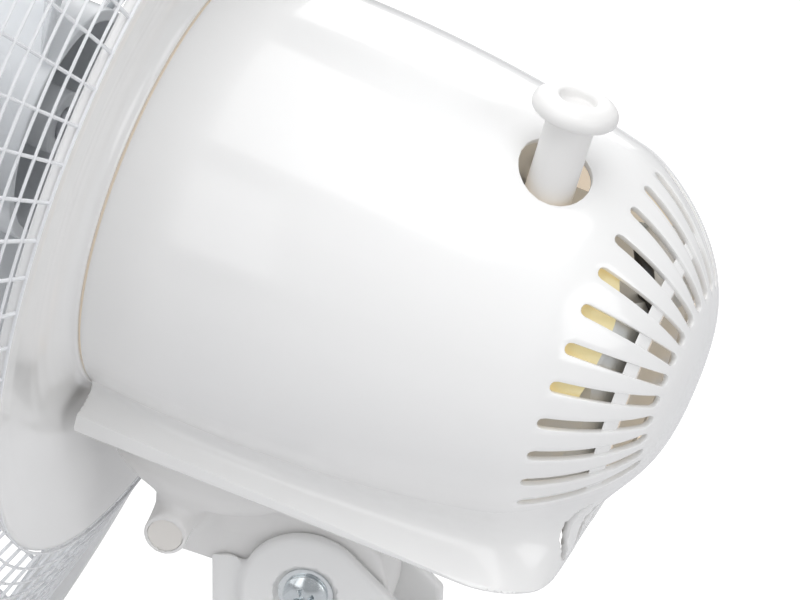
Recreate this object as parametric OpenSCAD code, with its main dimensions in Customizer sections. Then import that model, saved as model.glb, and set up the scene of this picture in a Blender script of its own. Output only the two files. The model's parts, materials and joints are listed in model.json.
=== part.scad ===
// Oscillating desk fan: round base, upright with tilt joint, turning head, guard and blade.
// World frame: millimetres, Z up, the fan blows towards -Y, origin under the base.
// Head frame: X sideways, Y along the motor axis to the rear, Z up, at the knob's station.

/* [Stand] */
// radius of the round base
base_r = 118; // [90:1:150]
// height of the base's top face
base_h = 34; // [24:1:50]
// height of the tilt screw above the table
tilt_z = 215; // [160:1:320]
// half width of the upright across its two ears
ear_out = 13; // [10:0.5:18]
// radius of the round boss on each ear
ear_r = 16.8; // [12:0.1:22]

/* [Pose] */
// backward lean of the head at rest, degrees
tilt_rest = 13.44; // [0:0.01:20]
// sideways turn of the head at rest, degrees
turn_rest = 9.37; // [0:0.01:40]

/* [Neck] */
// radius of the round neck cup
cup_r = 28.5; // [20:0.5:36]
// half thickness of the neck's tongue between the ears
tongue_t = 9; // [6:0.1:12]

/* [Head] */
// radius of the motor housing at its front seam
shell_r = 54.67; // [40:0.1:70]
// wall thickness of the moulded shells
wall = 2; // [1.2:0.1:3]
// number of cooling slots round the back
slot_n = 22; // [12:1:30]
// width of a cooling slot
slot_w = 2.8; // [1.5:0.1:4]
// sideways offset of the knob from the motor axis
knob_x = 17.7; // [10:0.1:24]
// radius of the knob's cap
knob_r = 9.9; // [7:0.1:14]

/* [Guard] */
// outer radius of the wire guard
guard_r = 188; // [140:1:220]
// radius where the guard's wires begin
guard_in = 97; // [70:1:110]
// number of straight guard wires
spoke_n = 36; // [24:2:96]
// radius of the blade's tips
blade_r = 168; // [120:1:190]

/* [Hidden] */
$fn = 96;
// run of the barrel: seam, start of the rear dome, end
y_seam = -87.9;
y_dome = 12.3;
y_end = 43.1;
// stations between which the cooling slots run
slot_y1 = 18.2;
slot_y2 = 39.5;
// neck pivot distances: turning axis ahead of the tilt axis, motor axis above it
turn_y = -31.6;
motor_z = 93;
// distance of the turning axis ahead of the knob's station
turn_back = 62.8;
ear_in = tongue_t + 0.3;
rim_z = -53;
crank_x = 0;
crank_y = 13;
rim_y = -119;
// underside of the knob's cap when pulled up
cap_z = 59.6;

module neck_frame() {
  translate([0, 0, tilt_z])
    rotate([-tilt_rest, 0, 0])
      children();
}

module head_frame() {
  neck_frame()
    translate([0, turn_y, motor_z])
      rotate([0, 0, -turn_rest])
        translate([0, turn_back, 0])
          children();
}

// turns a revolved profile so that its height runs along +Y
module along_y() {
  rotate([-90, 0, 0])
    children();
}

module tube_y(y1, y2, ro, ri) {
  translate([0, y1, 0])
    along_y()
      difference() {
        cylinder(h = y2 - y1, r = ro);
        if (ri > 0)
          translate([0, 0, -1])
            cylinder(h = y2 - y1 + 2, r = ri);
      }
}

module rod_y(y1, y2, r) {
  translate([0, y1, 0])
    along_y()
      cylinder(h = y2 - y1, r = r);
}

module rod_x(x1, x2, r) {
  translate([x1, 0, 0])
    rotate([0, 90, 0])
      cylinder(h = x2 - x1, r = r);
}

module rounded_box_2d(w, d, r) {
  union() {
    square([w - 2 * r, d], center = true);
    square([w, d - 2 * r], center = true);
    for (sx = [-1, 1])
      for (sy = [-1, 1])
        translate([sx * (w / 2 - r), sy * (d / 2 - r)])
          circle(r = r);
  }
}

// ---------------------------------------------------------------- stand

base_profile = [[0, base_h], [62, base_h], [90, base_h - 4], [108, base_h - 13],
  [base_r - 1, 12], [base_r, 9], [base_r, 5]];

module base_shell() {
  color([0.93, 0.93, 0.91])
    difference() {
      rotate_extrude()
        polygon(concat(base_profile, [[base_r - 2.5, 5], [base_r - 2.5, 9], [106, base_h - 15.5],
          [89, base_h - 6.6], [61, base_h - 2.6], [0, base_h - 2.6]]));
      // opening for the control panel
      translate([0, -84, 13.4])
        linear_extrude(36)
          rounded_box_2d(100.4, 36.4, 6.2);
      // socket opening for the upright's tube
      translate([0, 3, 20])
        cylinder(h = 30, r = 12.2);
      // outlet of the supply lead, at the rear
      translate([0, base_r - 12, 10.5])
        rod_y(0, 20, 4);
    }
}

module base_plate() {
  color([0.25, 0.25, 0.26])
    difference() {
      union() {
        translate([0, 0, 2])
          cylinder(h = 2.6, r = base_r - 3);
        for (a = [45 : 90 : 315])
          rotate([0, 0, a])
            translate([92, 0, 4])
              cylinder(h = 16, r = 5);
      }
      for (a = [45 : 90 : 315])
        rotate([0, 0, a])
          translate([92, 0, 1])
            cylinder(h = 30, r = 2);
      translate([0, 3, 1])
        cylinder(h = 6, r = 12.2);
      for (a = [0 : 90 : 270])
        rotate([0, 0, a])
          translate([98, 0, 1])
            cylinder(h = 4, r = 3.1);
    }
}

module ballast() {
  color([0.35, 0.35, 0.36])
    difference() {
      translate([0, 20, 4.8])
        cylinder(h = 9, r = 70);
      translate([0, 3, 4])
        cylinder(h = 12, r = 26);
      translate([-80, -120, 4])
        cube([160, 66, 12]);
      for (a = [45, 135])
        rotate([0, 0, a])
          translate([92, 0, 4])
            cylinder(h = 12, r = 5.4);
    }
}

module rubber_feet() {
  color([0.12, 0.12, 0.12])
    for (a = [0 : 90 : 270])
      rotate([0, 0, a])
        translate([98, 0, 0])
          union() {
            cylinder(h = 1.9, r = 8);
            cylinder(h = 6, r = 3);
          }
}

// rubber bung that closes the plate's hole under the upright's nut
module hole_bung() {
  color([0.12, 0.12, 0.12])
    translate([0, 3, 0])
      union() {
        cylinder(h = 1.95, r = 15);
        cylinder(h = 4.4, r = 12.15);
      }
}

module base_screws() {
  color([0.7, 0.7, 0.72])
    for (a = [45 : 90 : 315])
      rotate([0, 0, a])
        translate([92, 0, 0.4])
          union() {
            cylinder(h = 1.5, r = 3.6);
            cylinder(h = 14, r = 1.9);
          }
}

button_pitch = 22;

module control_panel() {
  color([0.9, 0.9, 0.89])
    difference() {
      translate([0, -84, 14])
        linear_extrude(26)
          rounded_box_2d(100, 36, 6);
      translate([0, -84, 12])
        linear_extrude(25.6)
          rounded_box_2d(96, 32, 4);
      for (i = [-1.5 : 1 : 1.5])
        translate([i * button_pitch, -84, 30])
          linear_extrude(20)
            rounded_box_2d(17, 21, 2.5);
    }
}

module button(i) {
  translate([i * button_pitch, -84, 0])
    union() {
      translate([0, 0, 33])
        linear_extrude(12)
          rounded_box_2d(16.2, 20.2, 2.1);
      translate([0, 0, 31.4])
        linear_extrude(2)
          rounded_box_2d(19, 23, 2.5);
      translate([0, 0, 24.5])
        linear_extrude(8)
          rounded_box_2d(6, 8, 1);
    }
}

module button_off() {
  color([0.82, 0.2, 0.16])
    button(-1.5);
}

module button_1() {
  color([0.88, 0.88, 0.87])
    button(-0.5);
}

module button_2() {
  color([0.88, 0.88, 0.87])
    button(0.5);
}

module button_3() {
  color([0.88, 0.88, 0.87])
    button(1.5);
}

module switch_block() {
  color([0.2, 0.2, 0.2])
    difference() {
      translate([-44, -94, 6])
        cube([88, 23, 11]);
      for (i = [-1.5 : 1 : 1.5])
        translate([i * button_pitch - 4, -89, 13])
          cube([8, 10, 10]);
    }
}

// side outline of an ear: round boss running out to the upright's width
module ear_outline(front, rear) {
  union() {
    circle(r = ear_r);
    polygon([[-ear_r, 0], [-ear_r, -4], [front, -20], [front, -42], [rear, -42],
      [rear, -rear + 2 * ear_r * cos(45)], [ear_r * cos(45), ear_r * sin(45)]]);
  }
}

// stands a flat outline in the Y-Z plane and gives it a thickness along X
module plate_x(x1, x2) {
  translate([x1, 0, 0])
    rotate([90, 0, 90])
      linear_extrude(x2 - x1)
        children();
}

module column() {
  color([0.93, 0.93, 0.91])
    difference() {
      union() {
        // hollow upright
        translate([0, 3, base_h + 0.1])
          linear_extrude(tilt_z - 24 - base_h)
            rounded_box_2d(2 * ear_out + 14, 58, 12);
        translate([0, 3, base_h + 0.1])
          cylinder(h = 8, r = 40);
        // ears, each a cheek with a raised boss
        translate([0, 0, tilt_z])
          for (s = [0, 1])
            mirror([s, 0, 0])
              union() {
                plate_x(ear_in, ear_out)
                  ear_outline(-24.5, 31);
                plate_x(ear_in, ear_out - 2.2)
                  polygon([[-24.5, 7], [-20, 8], [0, 0], [0, -30], [-24.5, -30]]);
              }
        // tube that stands in the base
        translate([0, 3, 5])
          cylinder(h = base_h, r = 12);
      }
      // hollow inside
      translate([0, 3, base_h + 3])
        linear_extrude(tilt_z - 31 - base_h)
          rounded_box_2d(2 * ear_out + 8, 52, 9);
      translate([0, 3, 2])
        cylinder(h = 60, r = 9.2);
      // tilt screw hole and the sunk seats of its head and nut
      translate([0, 0, tilt_z])
        rod_x(-30, 30, 3.04);
      translate([0, 0, tilt_z])
        rod_x(ear_out - 1.8, 30, 8.2);
      translate([0, 0, tilt_z])
        rod_x(-30, -ear_out + 1.8, 8.2);
    }
}

module column_nut() {
  color([0.6, 0.6, 0.62])
    difference() {
      translate([0, 3, 5])
        cylinder(h = 8, r = 20, $fn = 6);
      translate([0, 3, 4])
        cylinder(h = 12, r = 12.08);
    }
}

// pan head with a cross recess
module tilt_screw() {
  color([0.72, 0.73, 0.74])
    translate([0, 0, tilt_z])
      difference() {
        union() {
          rod_x(-ear_out + 0.5, ear_out - 0.9, 3);
          rod_x(ear_out - 1.0, ear_out + 0.7, 5.6);
          rod_x(ear_out + 0.69, ear_out + 1.5, 4.4);
        }
        for (a = [20, 110])
          rotate([a, 0, 0])
            translate([ear_out + 0.1, -3.2, -0.6])
              cube([4, 6.4, 1.2]);
      }
}

module tilt_washer() {
  color([0.72, 0.73, 0.74])
    translate([0, 0, tilt_z])
      difference() {
        rod_x(ear_out - 1.78, ear_out - 1.02, 7);
        rod_x(0, 40, 3.05);
      }
}

module tilt_nut() {
  color([0.72, 0.73, 0.74])
    translate([0, 0, tilt_z])
      difference() {
        translate([-ear_out - 2.6, 0, 0])
          rotate([0, 90, 0])
            cylinder(h = 4.3, r = 5.8, $fn = 6);
        rod_x(-40, 0, 3.05);
      }
}

// ---------------------------------------------------------------- neck

// lower outline of the cup, as radius and depth below its widest level
cup_depth = 14;
cup_z = 29.4;
function cup_pt(a) = [cup_r * sin(a), cup_z - cup_depth * cos(a)];

module neck() {
  color([0.95, 0.95, 0.94])
    neck_frame()
      difference() {
        union() {
          // cup, revolved about the turning axis
          translate([0, turn_y, 0])
            rotate_extrude()
              polygon(concat([[0, 30], [0, cup_z - cup_depth]],
                [for (i = [1 : 12]) cup_pt(i * 7.5)], [[cup_r, 37], [cup_r - 2.4, 37],
                [cup_r - 2.4, 30]]));
          // tongue down to the tilt screw
          plate_x(-tongue_t, tongue_t)
            union() {
              circle(r = 20.5);
              polygon([[-42, 18], [-39, 4], [-34, -1.2], [-18, -1.2], [0, -10], [14, 14], [2, 30]]);
            }
          // boss with the locking screw of the pin
          translate([0, -36.1, 12.5])
            union() {
              rod_x(0, 25.8, 5.4);
              translate([tongue_t - 3, 0, 0])
                rotate([0, 90, 0])
                  cylinder(h = 9, r1 = 10.5, r2 = 5.4);
            }
          // post that carries the turning pin
          translate([0, turn_y, 25])
            cylinder(h = 12, r = 13);
        }
        translate([0, -36.1, 12.5])
          rod_x(24.6, 40, 4.4);
        // hole of the turning pin
        translate([0, turn_y, 21])
          cylinder(h = 60, r = 6);
        rod_x(-30, 30, 3.08);
        // flat sides where the tongue passes between the ears
        for (s = [-1, 1])
          translate([s * (tongue_t + 20) - 20, -23.5, -24])
            cube([40, 60, 33]);
      }
}

module peg_plug() {
  color([0.9, 0.89, 0.87])
    neck_frame()
      translate([0, -36.1, 12.5])
        rod_x(24.62, 25.4, 4.35);
}

module pivot_pin() {
  color([0.7, 0.71, 0.73])
    neck_frame()
      translate([0, turn_y, 21.1])
        difference() {
          cylinder(h = 29.9, r = 5.95);
          translate([0, 0, -1])
            cylinder(h = 40, r = 3.6);
        }
}

module pivot_ring() {
  color([0.3, 0.3, 0.32])
    neck_frame()
      translate([0, turn_y, 37.1])
        difference() {
          cylinder(h = 6.2, r = 11);
          translate([0, 0, -1])
            cylinder(h = 9, r = 6.05);
        }
}

// the crank pin's place, seen from the neck
crank_pin_x = sin(turn_rest) * (turn_back + crank_y) + 12 * cos(turn_rest);
crank_pin_y = turn_y + cos(turn_rest) * (turn_back + crank_y) - 12 * sin(turn_rest);
link_z = 37.9;

module link_rod() {
  color([0.7, 0.71, 0.73])
    neck_frame()
      translate([0, 0, link_z])
        difference() {
          union() {
            translate([18, turn_y + 12, 0])
              cylinder(h = 1.6, r = 5);
            translate([crank_pin_x, crank_pin_y, 0])
              cylinder(h = 1.6, r = 5);
            translate([18, turn_y + 12, 0])
              rotate([0, 0, atan2(crank_pin_y - turn_y - 12, crank_pin_x - 18)])
                translate([0, -3, 0])
                  cube([norm([crank_pin_x - 18, crank_pin_y - turn_y - 12]), 6, 1.6]);
          }
          translate([18, turn_y + 12, -1])
            cylinder(h = 5, r = 2.06);
          translate([crank_pin_x, crank_pin_y, -1])
            cylinder(h = 5, r = 2);
        }
}

module link_rivet() {
  color([0.6, 0.61, 0.62])
    neck_frame()
      translate([crank_pin_x, crank_pin_y, link_z - 0.9])
        union() {
          cylinder(h = 0.88, r = 3.4);
          cylinder(h = 2.5, r = 1.95);
        }
}

module link_pin() {
  color([0.6, 0.61, 0.62])
    neck_frame()
      translate([18, turn_y + 12, 30.02])
        union() {
          cylinder(h = 7.8, r = 4);
          cylinder(h = 9.6, r = 2);
        }
}

// ---------------------------------------------------------------- motor housing

// radius of the barrel at a station along the axis
function shell_at(y) = let (v = (y - y_seam) / (y_end - y_seam),
    u = max(0, (y - y_dome) / (y_end - y_dome)))
  (shell_r * (1 - 0.284 * v) + 5.87 * 4 * v * (1 - v)) * pow(max(0, 1 - pow(u, 1.548)), 0.3165);

front_steps = [for (i = [0 : 8]) y_seam + (y_dome - y_seam) * i / 8];
dome_steps = [for (i = [1 : 14]) y_dome + (y_end - y_dome) * sin(90 * i / 14)];
steps = concat(front_steps, dome_steps);

module barrel(inset) {
  along_y()
    rotate_extrude()
      polygon(concat([[0, y_seam]],
        [for (y = steps) if (y < y_end - inset) [max(0, shell_at(y + inset * 0.6) - inset), y]],
        [[0, y_end - inset]]));
}

// outline of the skirt seen along the motor axis
module skirt_section(inset) {
  polygon([[-26 + inset, -30], [26 - inset, -30], [29.5 - inset, -44.8], [38.8 - inset, -52],
    [38.8 - inset, rim_z], [inset - 38.8, rim_z], [inset - 38.8, -52], [inset - 29.5, -44.8]]);
}

// outline of the skirt seen from above, with rounded rear corners
module skirt_plan(inset) {
  union() {
    translate([inset - 38.8, y_seam])
      square([77.6 - 2 * inset, 93.9]);
    translate([-11.8, y_seam])
      square([23.6, 120.9 - inset]);
    for (s = [-1, 1])
      translate([s * 11.8, 6])
        circle(r = 27 - inset);
  }
}

module skirt(inset) {
  intersection() {
    translate([0, y_seam, 0])
      rotate([90, 0, 180])
        mirror([0, 0, 0])
          linear_extrude(125)
            skirt_section(inset);
    translate([0, 0, -70])
      linear_extrude(60)
        skirt_plan(inset);
    // the rear wall leans forward towards the rim
    plate_x(-60, 60)
      polygon([[-90, -20], [36.5 - inset, -20], [29.6 - inset, -54], [-90, -54]]);
  }
}

module rear_shell() {
  color([0.95, 0.95, 0.95])
    head_frame()
      difference() {
        union() {
          difference() {
            union() {
              barrel(0);
              skirt(0);
            }
            // inside of the barrel, down to the floor
            intersection() {
              translate([0, -0.01, 0])
                barrel(wall);
              translate([-60, y_seam - 2, rim_z + wall])
                cube([120, 150, 120]);
            }
            // underside flush with the skirt's rim
            translate([-40, y_seam - 1, rim_z - 10])
              cube([80, 140, 10]);
            difference() {
              skirt(wall);
              translate([-60, y_seam - 1, rim_z - 1])
                cube([120, 140, 3]);
            }
          }
          // ring rib behind the cooling slots
          intersection() {
            translate([0, 30.5, 0])
              tube_y(0, 3, 40, 31.5);
            barrel(0.9);
          }
        }
        // cooling slots round the dome
        for (i = [0 : slot_n - 1])
          rotate([0, 36 - 12 * i, 0])
            translate([18, slot_y1, -slot_w / 2])
              cube([50, 12.2, slot_w]);
        for (i = [0 : slot_n - 1])
          rotate([0, 36 - 12 * i, 0])
            translate([18, 33.6, -slot_w / 2])
              cube([50, slot_y2 - 33.6, slot_w]);
        // upright slots in the skirt's rear wall
        for (i = [-3 : 3])
          translate([i * 6 - 0.9, 26, -48])
            cube([1.8, 20, 18]);
        // knob's hole
        translate([knob_x, 0, 20])
          cylinder(h = 60, r = 8.6);
        // floor openings for the turning pin and the crank
        translate([0, -turn_back, rim_z - 7])
          cylinder(h = 13, r = 19);
        translate([crank_x, crank_y, rim_z - 7])
          cylinder(h = 13, r = 18);
        for (s = [-1, 1])
          translate([s * 24, -50, rim_z - 2])
            union() {
              cylinder(h = 8, r = 1.7);
              cylinder(h = 3.4, r = 3.2);
            }
      }
}

module front_collar() {
  color([0.95, 0.95, 0.95])
    head_frame()
      along_y()
        rotate_extrude()
          polygon([[16, -97], [50, -97], [50, -88.6], [54.6, -88.4], [54.9, -90.8],
            [55.6, -91.9], [58, -92.4], [62, -92.4], [72, -90.8], [guard_in - 2, -86.2], [guard_in, -86.2],
            [guard_in, -89], [72, -93], [60, -94.6], [52.4, -94.6], [52.4, -99], [16, -99]]);
}

module shell_screws() {
  color([0.7, 0.7, 0.72])
    head_frame()
      for (s = [-1, 1])
        translate([s * 24, -50, rim_z + 0.1])
          union() {
            cylinder(h = 1.28, r = 3);
            cylinder(h = 6.8, r = 1.6);
          }
}

// ---------------------------------------------------------------- motor

module front_bracket() {
  color([0.72, 0.73, 0.75])
    head_frame()
      difference() {
        union() {
          tube_y(-84, -81, 45, 0);
          tube_y(-81.1, -62, 45, 41.5);
          tube_y(-96.6, -80, 12, 0);
          // block that turns on the neck's pin
          translate([0, -turn_back, -49.5])
            cylinder(h = 7.6, r = 11);
          translate([-10, -84, -49.5])
            cube([20, 22, 7.6]);
          // pads for the housing screws
          translate([-28, -54, -49.4])
            cube([56, 8, 3.4]);
          translate([-8, -62, -49.4])
            cube([16, 10, 3.4]);
        }
        tube_y(-100, -50, 7.05, 0);
        translate([0, -turn_back, -60])
          cylinder(h = 40, r = 6);
        for (a = [45 : 90 : 315])
          rotate([0, a, 0])
            translate([0, -90, 38])
              rod_y(0, 20, 2.1);
        for (s = [-1, 1])
          translate([s * 24, -50, -60])
            cylinder(h = 20, r = 1.65);
      }
}

module rear_bracket() {
  color([0.72, 0.73, 0.75])
    head_frame()
      difference() {
        union() {
          tube_y(-34.9, -16, 43.4, 40.4);
          tube_y(-16.1, -13, 43.4, 0);
          tube_y(-20, -13, 12, 0);
        }
        tube_y(-40, 0, 7.05, 0);
        for (a = [45 : 90 : 315])
          rotate([0, a, 0])
            translate([0, -40, 38])
              rod_y(0, 40, 2.1);
      }
}

module stator_core() {
  color([0.3, 0.3, 0.32])
    head_frame()
      difference() {
        tube_y(-61.9, -35, 41.4, 22);
        for (i = [0 : 15])
          rotate([0, i * 22.5, 0])
            translate([20, -63, -1.6])
              cube([11, 30, 3.2]);
        for (a = [45 : 90 : 315])
          rotate([0, a, 0])
            translate([0, -70, 38])
              rod_y(0, 40, 2.1);
      }
}

module winding(y1, y2) {
  translate([0, y1, 0])
    along_y()
      rotate_extrude()
        translate([29, (y2 - y1) / 2])
          circle(r = (y2 - y1) / 2);
}

module winding_front() {
  color([0.72, 0.42, 0.2])
    head_frame()
      winding(-74.5, -62);
}

module winding_rear() {
  color([0.72, 0.42, 0.2])
    head_frame()
      winding(-34.9, -22.4);
}

module winding_tape() {
  color([0.8, 0.68, 0.3])
    head_frame()
      tube_y(-31, -26, 35.95, 35.3);
}

module motor_bolts() {
  color([0.7, 0.7, 0.72])
    head_frame()
      for (a = [45 : 90 : 315])
        rotate([0, a, 0])
          translate([0, 0, 38])
            union() {
              rod_y(-84.5, -10.5, 2);
              rod_y(-12.98, -10.2, 3.6);
              rod_y(-87, -84.02, 3.6);
            }
}

module front_bush() {
  color([0.7, 0.55, 0.3])
    head_frame()
      tube_y(-95, -81, 7, 4.04);
}

module rear_bush() {
  color([0.7, 0.55, 0.3])
    head_frame()
      tube_y(-20, -13.05, 7, 4.04);
}

module capacitor() {
  color([0.1, 0.1, 0.11])
    translate([-19, -65.6, 5])
      cube([38, 11, 18]);
}

// places of the lid's three screws
lid_points = [[-17, 16], [28.6, 10], [-17, -4]];

module gearbox_case() {
  color([0.75, 0.76, 0.77])
    head_frame()
      difference() {
        intersection() {
          translate([-22.5, -12.95, -23.2])
            cube([56.5, 46, 45.2]);
          barrel(3.4);
        }
        // inside, open towards the motor, with the posts of the lid screws left standing
        difference() {
          intersection() {
            translate([-20, -15, -21])
              cube([51.6, 46.7, 50]);
            barrel(5.6);
          }
          for (p = lid_points)
            translate([p[0], p[1], 10])
              cylinder(h = 12, r = 3.4);
        }
        for (p = lid_points)
          translate([p[0], p[1], 16])
            cylinder(h = 10, r = 1.65);
        tube_y(-20, 0, 5, 0);
        translate([knob_x, 0, -30])
          cylinder(h = 20, r = 3.05);
        translate([crank_x, crank_y, -30])
          cylinder(h = 20, r = 4.05);
      }
}

module gearbox_lid() {
  color([0.75, 0.76, 0.77])
    head_frame()
      difference() {
        intersection() {
          translate([-22.5, -9.8, 22.02])
            cube([56.5, 46, 3]);
          barrel(3.4);
        }
        translate([knob_x, 0, 10])
          cylinder(h = 20, r = 3.05);
        for (p = lid_points)
          translate([p[0], p[1], 20])
            cylinder(h = 10, r = 1.7);
      }
}

module lid_screws() {
  color([0.7, 0.7, 0.72])
    head_frame()
      for (p = lid_points)
        translate([p[0], p[1], 25.04])
          union() {
            cylinder(h = 1.6, r = 2.8);
            translate([0, 0, -5])
              cylinder(h = 6, r = 1.6);
          }
}

// toothed disc with straight, slightly thinned teeth
module gear_2d(teeth, pitch_r) {
  union() {
    circle(r = pitch_r - 1.1);
    for (i = [0 : teeth - 1])
      rotate([0, 0, 360 * i / teeth])
        polygon([[pitch_r - 1.6, -0.75], [pitch_r, -0.55], [pitch_r + 0.7, -0.3],
          [pitch_r + 0.7, 0.3], [pitch_r, 0.55], [pitch_r - 1.6, 0.75]]);
  }
}

module worm_wheel() {
  color([0.85, 0.83, 0.75])
    head_frame()
      translate([knob_x, 0, -4])
        difference() {
          linear_extrude(8)
            gear_2d(24, 11.9);
          translate([0, 0, -1])
            cylinder(h = 12, r = 3.05);
        }
}

module clutch_shaft() {
  color([0.7, 0.71, 0.73])
    head_frame()
      translate([knob_x, 0, 0])
        union() {
          translate([0, 0, -23.9])
            cylinder(h = 71.9, r = 3);
          translate([0, 0, -20.5])
            linear_extrude(7)
              gear_2d(10, 5);
          translate([0, 0, -10])
            cylinder(h = 5.7, r = 4.6);
        }
}

mesh_angle = atan2(crank_y, crank_x - knob_x);

module crank_gear() {
  color([0.85, 0.83, 0.75])
    head_frame()
      translate([crank_x, crank_y, 0])
        union() {
          translate([0, 0, -20.5])
            linear_extrude(7)
              rotate([0, 0, mesh_angle + 180 + 180 / 34])
                gear_2d(34, norm([knob_x - crank_x, crank_y]) - 5);
          translate([0, 0, -50])
            cylinder(h = 30, r = 4);
        }
}

module crank_arm() {
  color([0.7, 0.71, 0.73])
    head_frame()
      translate([crank_x, crank_y, -52.6])
        difference() {
          union() {
            cylinder(h = 2.5, r = 7);
            translate([12, 0, 0])
              cylinder(h = 2.5, r = 4.5);
            translate([0, -4, 0])
              cube([12, 8, 2.5]);
          }
          translate([12, 0, -1])
            cylinder(h = 5, r = 2);
        }
}

module knob() {
  color([0.95, 0.95, 0.94])
    head_frame()
      translate([knob_x, 0, 0])
        difference() {
          union() {
            translate([0, 0, 34])
              cylinder(h = cap_z - 33.5, r = 5.56);
            translate([0, 0, cap_z])
              rotate_extrude()
                polygon([[0, 0], [5, -0.4], [8, -0.2], [knob_r - 0.6, 0.6], [knob_r, 1.6],
                  [knob_r - 0.3, 2.6], [knob_r - 1.4, 3.4], [7, 4], [4.6, 4.2], [0, 4.2]]);
          }
          translate([0, 0, 20])
            cylinder(h = 37, r = 3.04);
          translate([0, 0, cap_z + 2.2])
            cylinder(h = 5, r = 4.3);
        }
}

// ---------------------------------------------------------------- rotor and blade

module rotor_core() {
  color([0.45, 0.45, 0.47])
    head_frame()
      tube_y(-61.5, -35.4, 21.5, 4);
}

module motor_shaft() {
  color([0.75, 0.76, 0.78])
    head_frame()
      union() {
        rod_y(-161, 14, 4);
        rod_y(-6, 8, 5);
      }
}

module blade() {
  color([0.9, 0.9, 0.88])
    head_frame()
      translate([0, -146, 0])
        difference() {
          union() {
            tube_y(0, 26, 30, 27);
            tube_y(0, 3, 30, 0);
            tube_y(0, 24, 8, 0);
            for (i = [0 : 4])
              rotate([0, i * 72, 0])
                translate([0, 13, 0])
                  rotate([0, 0, 24])
                    translate([0, -1, 0])
                      rotate([-90, 0, 0])
                        linear_extrude(2)
                          intersection() {
                            translate([0, -96])
                              scale(1)
                                circle(r = 70);
                            translate([-40, -165])
                              square([80, 137]);
                          }
          }
          tube_y(-5, 40, 4.04, 0);
        }
}

module blade_nut() {
  color([0.9, 0.9, 0.88])
    head_frame()
      difference() {
        union() {
          tube_y(-154, -146.1, 16, 0);
          tube_y(-163.5, -154, 12, 0);
        }
        tube_y(-161.2, -144, 4.04, 0);
      }
}

// ---------------------------------------------------------------- wire guard

function cone_y(r) = -86 - (r - guard_in) * 0.36;

module rear_guard() {
  color([0.88, 0.89, 0.9])
    head_frame()
      along_y()
        union() {
          for (r = [guard_in + 1.6, 120, 143, 166, guard_r - 2])
            rotate_extrude()
              translate([r, cone_y(r)])
                square([1.8, 1.8], center = true);
          for (i = [0 : spoke_n - 1])
            rotate([0, 0, i * 360 / spoke_n])
              translate([guard_in + 1.6, 0, cone_y(guard_in + 1.6)])
                rotate([0, 90 + atan(0.36), 0])
                  translate([0, 0, 0])
                    linear_extrude((guard_r - 3.6 - guard_in) / cos(atan(0.36)))
                      square([1.2, 1.2], center = true);
        }
}

module guard_nuts() {
  color([0.9, 0.9, 0.88])
    head_frame()
      tube_y(-104, -99.05, 22, 12.3);
}

module guard_rim() {
  color([0.93, 0.93, 0.92])
    head_frame()
      along_y()
        rotate_extrude()
          polygon([[guard_r + 0.2, rim_y + 5], [guard_r + 2.2, rim_y + 5], [guard_r + 2.2, rim_y - 9],
            [guard_r + 0.2, rim_y - 9]]);
}

module front_guard() {
  color([0.88, 0.89, 0.9])
    head_frame()
      along_y()
        union() {
          for (p = [[guard_r - 2, -126], [166, -152], [140, -170], [110, -183], [80, -190], [50, -192]])
            rotate_extrude()
              translate(p)
                square([1.8, 1.8], center = true);
          for (i = [0 : spoke_n - 1])
            rotate([0, 0, i * 360 / spoke_n])
              rotate([90, 0, 0])
                linear_extrude(1.2, center = true)
                  polygon([[guard_r - 1.6, -126], [166, -152.6], [140, -170.6], [110, -183.6],
                    [80, -190.6], [44, -192.6], [44, -191.4], [80, -189.4], [110, -182.4],
                    [140, -169.4], [165.4, -151.4], [guard_r - 2.8, -126]]);
        }
}

module badge() {
  color([0.8, 0.81, 0.82])
    head_frame()
      tube_y(-196, -192.65, 46, 0);
}

module guard_clips() {
  color([0.93, 0.93, 0.92])
    head_frame()
      for (a = [0 : 90 : 270])
        rotate([0, a + 45, 0])
          translate([guard_r + 2.25, rim_y - 9, -7])
            cube([2.6, 14, 14]);
}

base_shell();
base_plate();
ballast();
rubber_feet();
hole_bung();
base_screws();
control_panel();
button_off();
button_1();
button_2();
button_3();
switch_block();
column();
column_nut();
tilt_screw();
tilt_washer();
tilt_nut();
neck();
peg_plug();
pivot_pin();
pivot_ring();
link_rod();
link_rivet();
link_pin();
rear_shell();
front_collar();
shell_screws();
front_bracket();
rear_bracket();
stator_core();
winding_front();
winding_rear();
winding_tape();
motor_bolts();
front_bush();
rear_bush();
capacitor();
gearbox_case();
gearbox_lid();
lid_screws();
worm_wheel();
clutch_shaft();
crank_gear();
crank_arm();
knob();
rotor_core();
motor_shaft();
blade();
blade_nut();
rear_guard();
guard_nuts();
guard_rim();
front_guard();
badge();
guard_clips();
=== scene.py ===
"""Oscillating desk fan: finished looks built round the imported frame.

Places are worked out from the joints of the frame. Lengths inside a part are in millimetres,
in three places: the stand (world axes), the neck (about the tilt screw) and the head
(X across, Y along the motor axis to the rear, Z up, at the knob's station).
"""
import json
import math

import bmesh
import bpy
import numpy as np
from mathutils import Matrix, Vector


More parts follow.
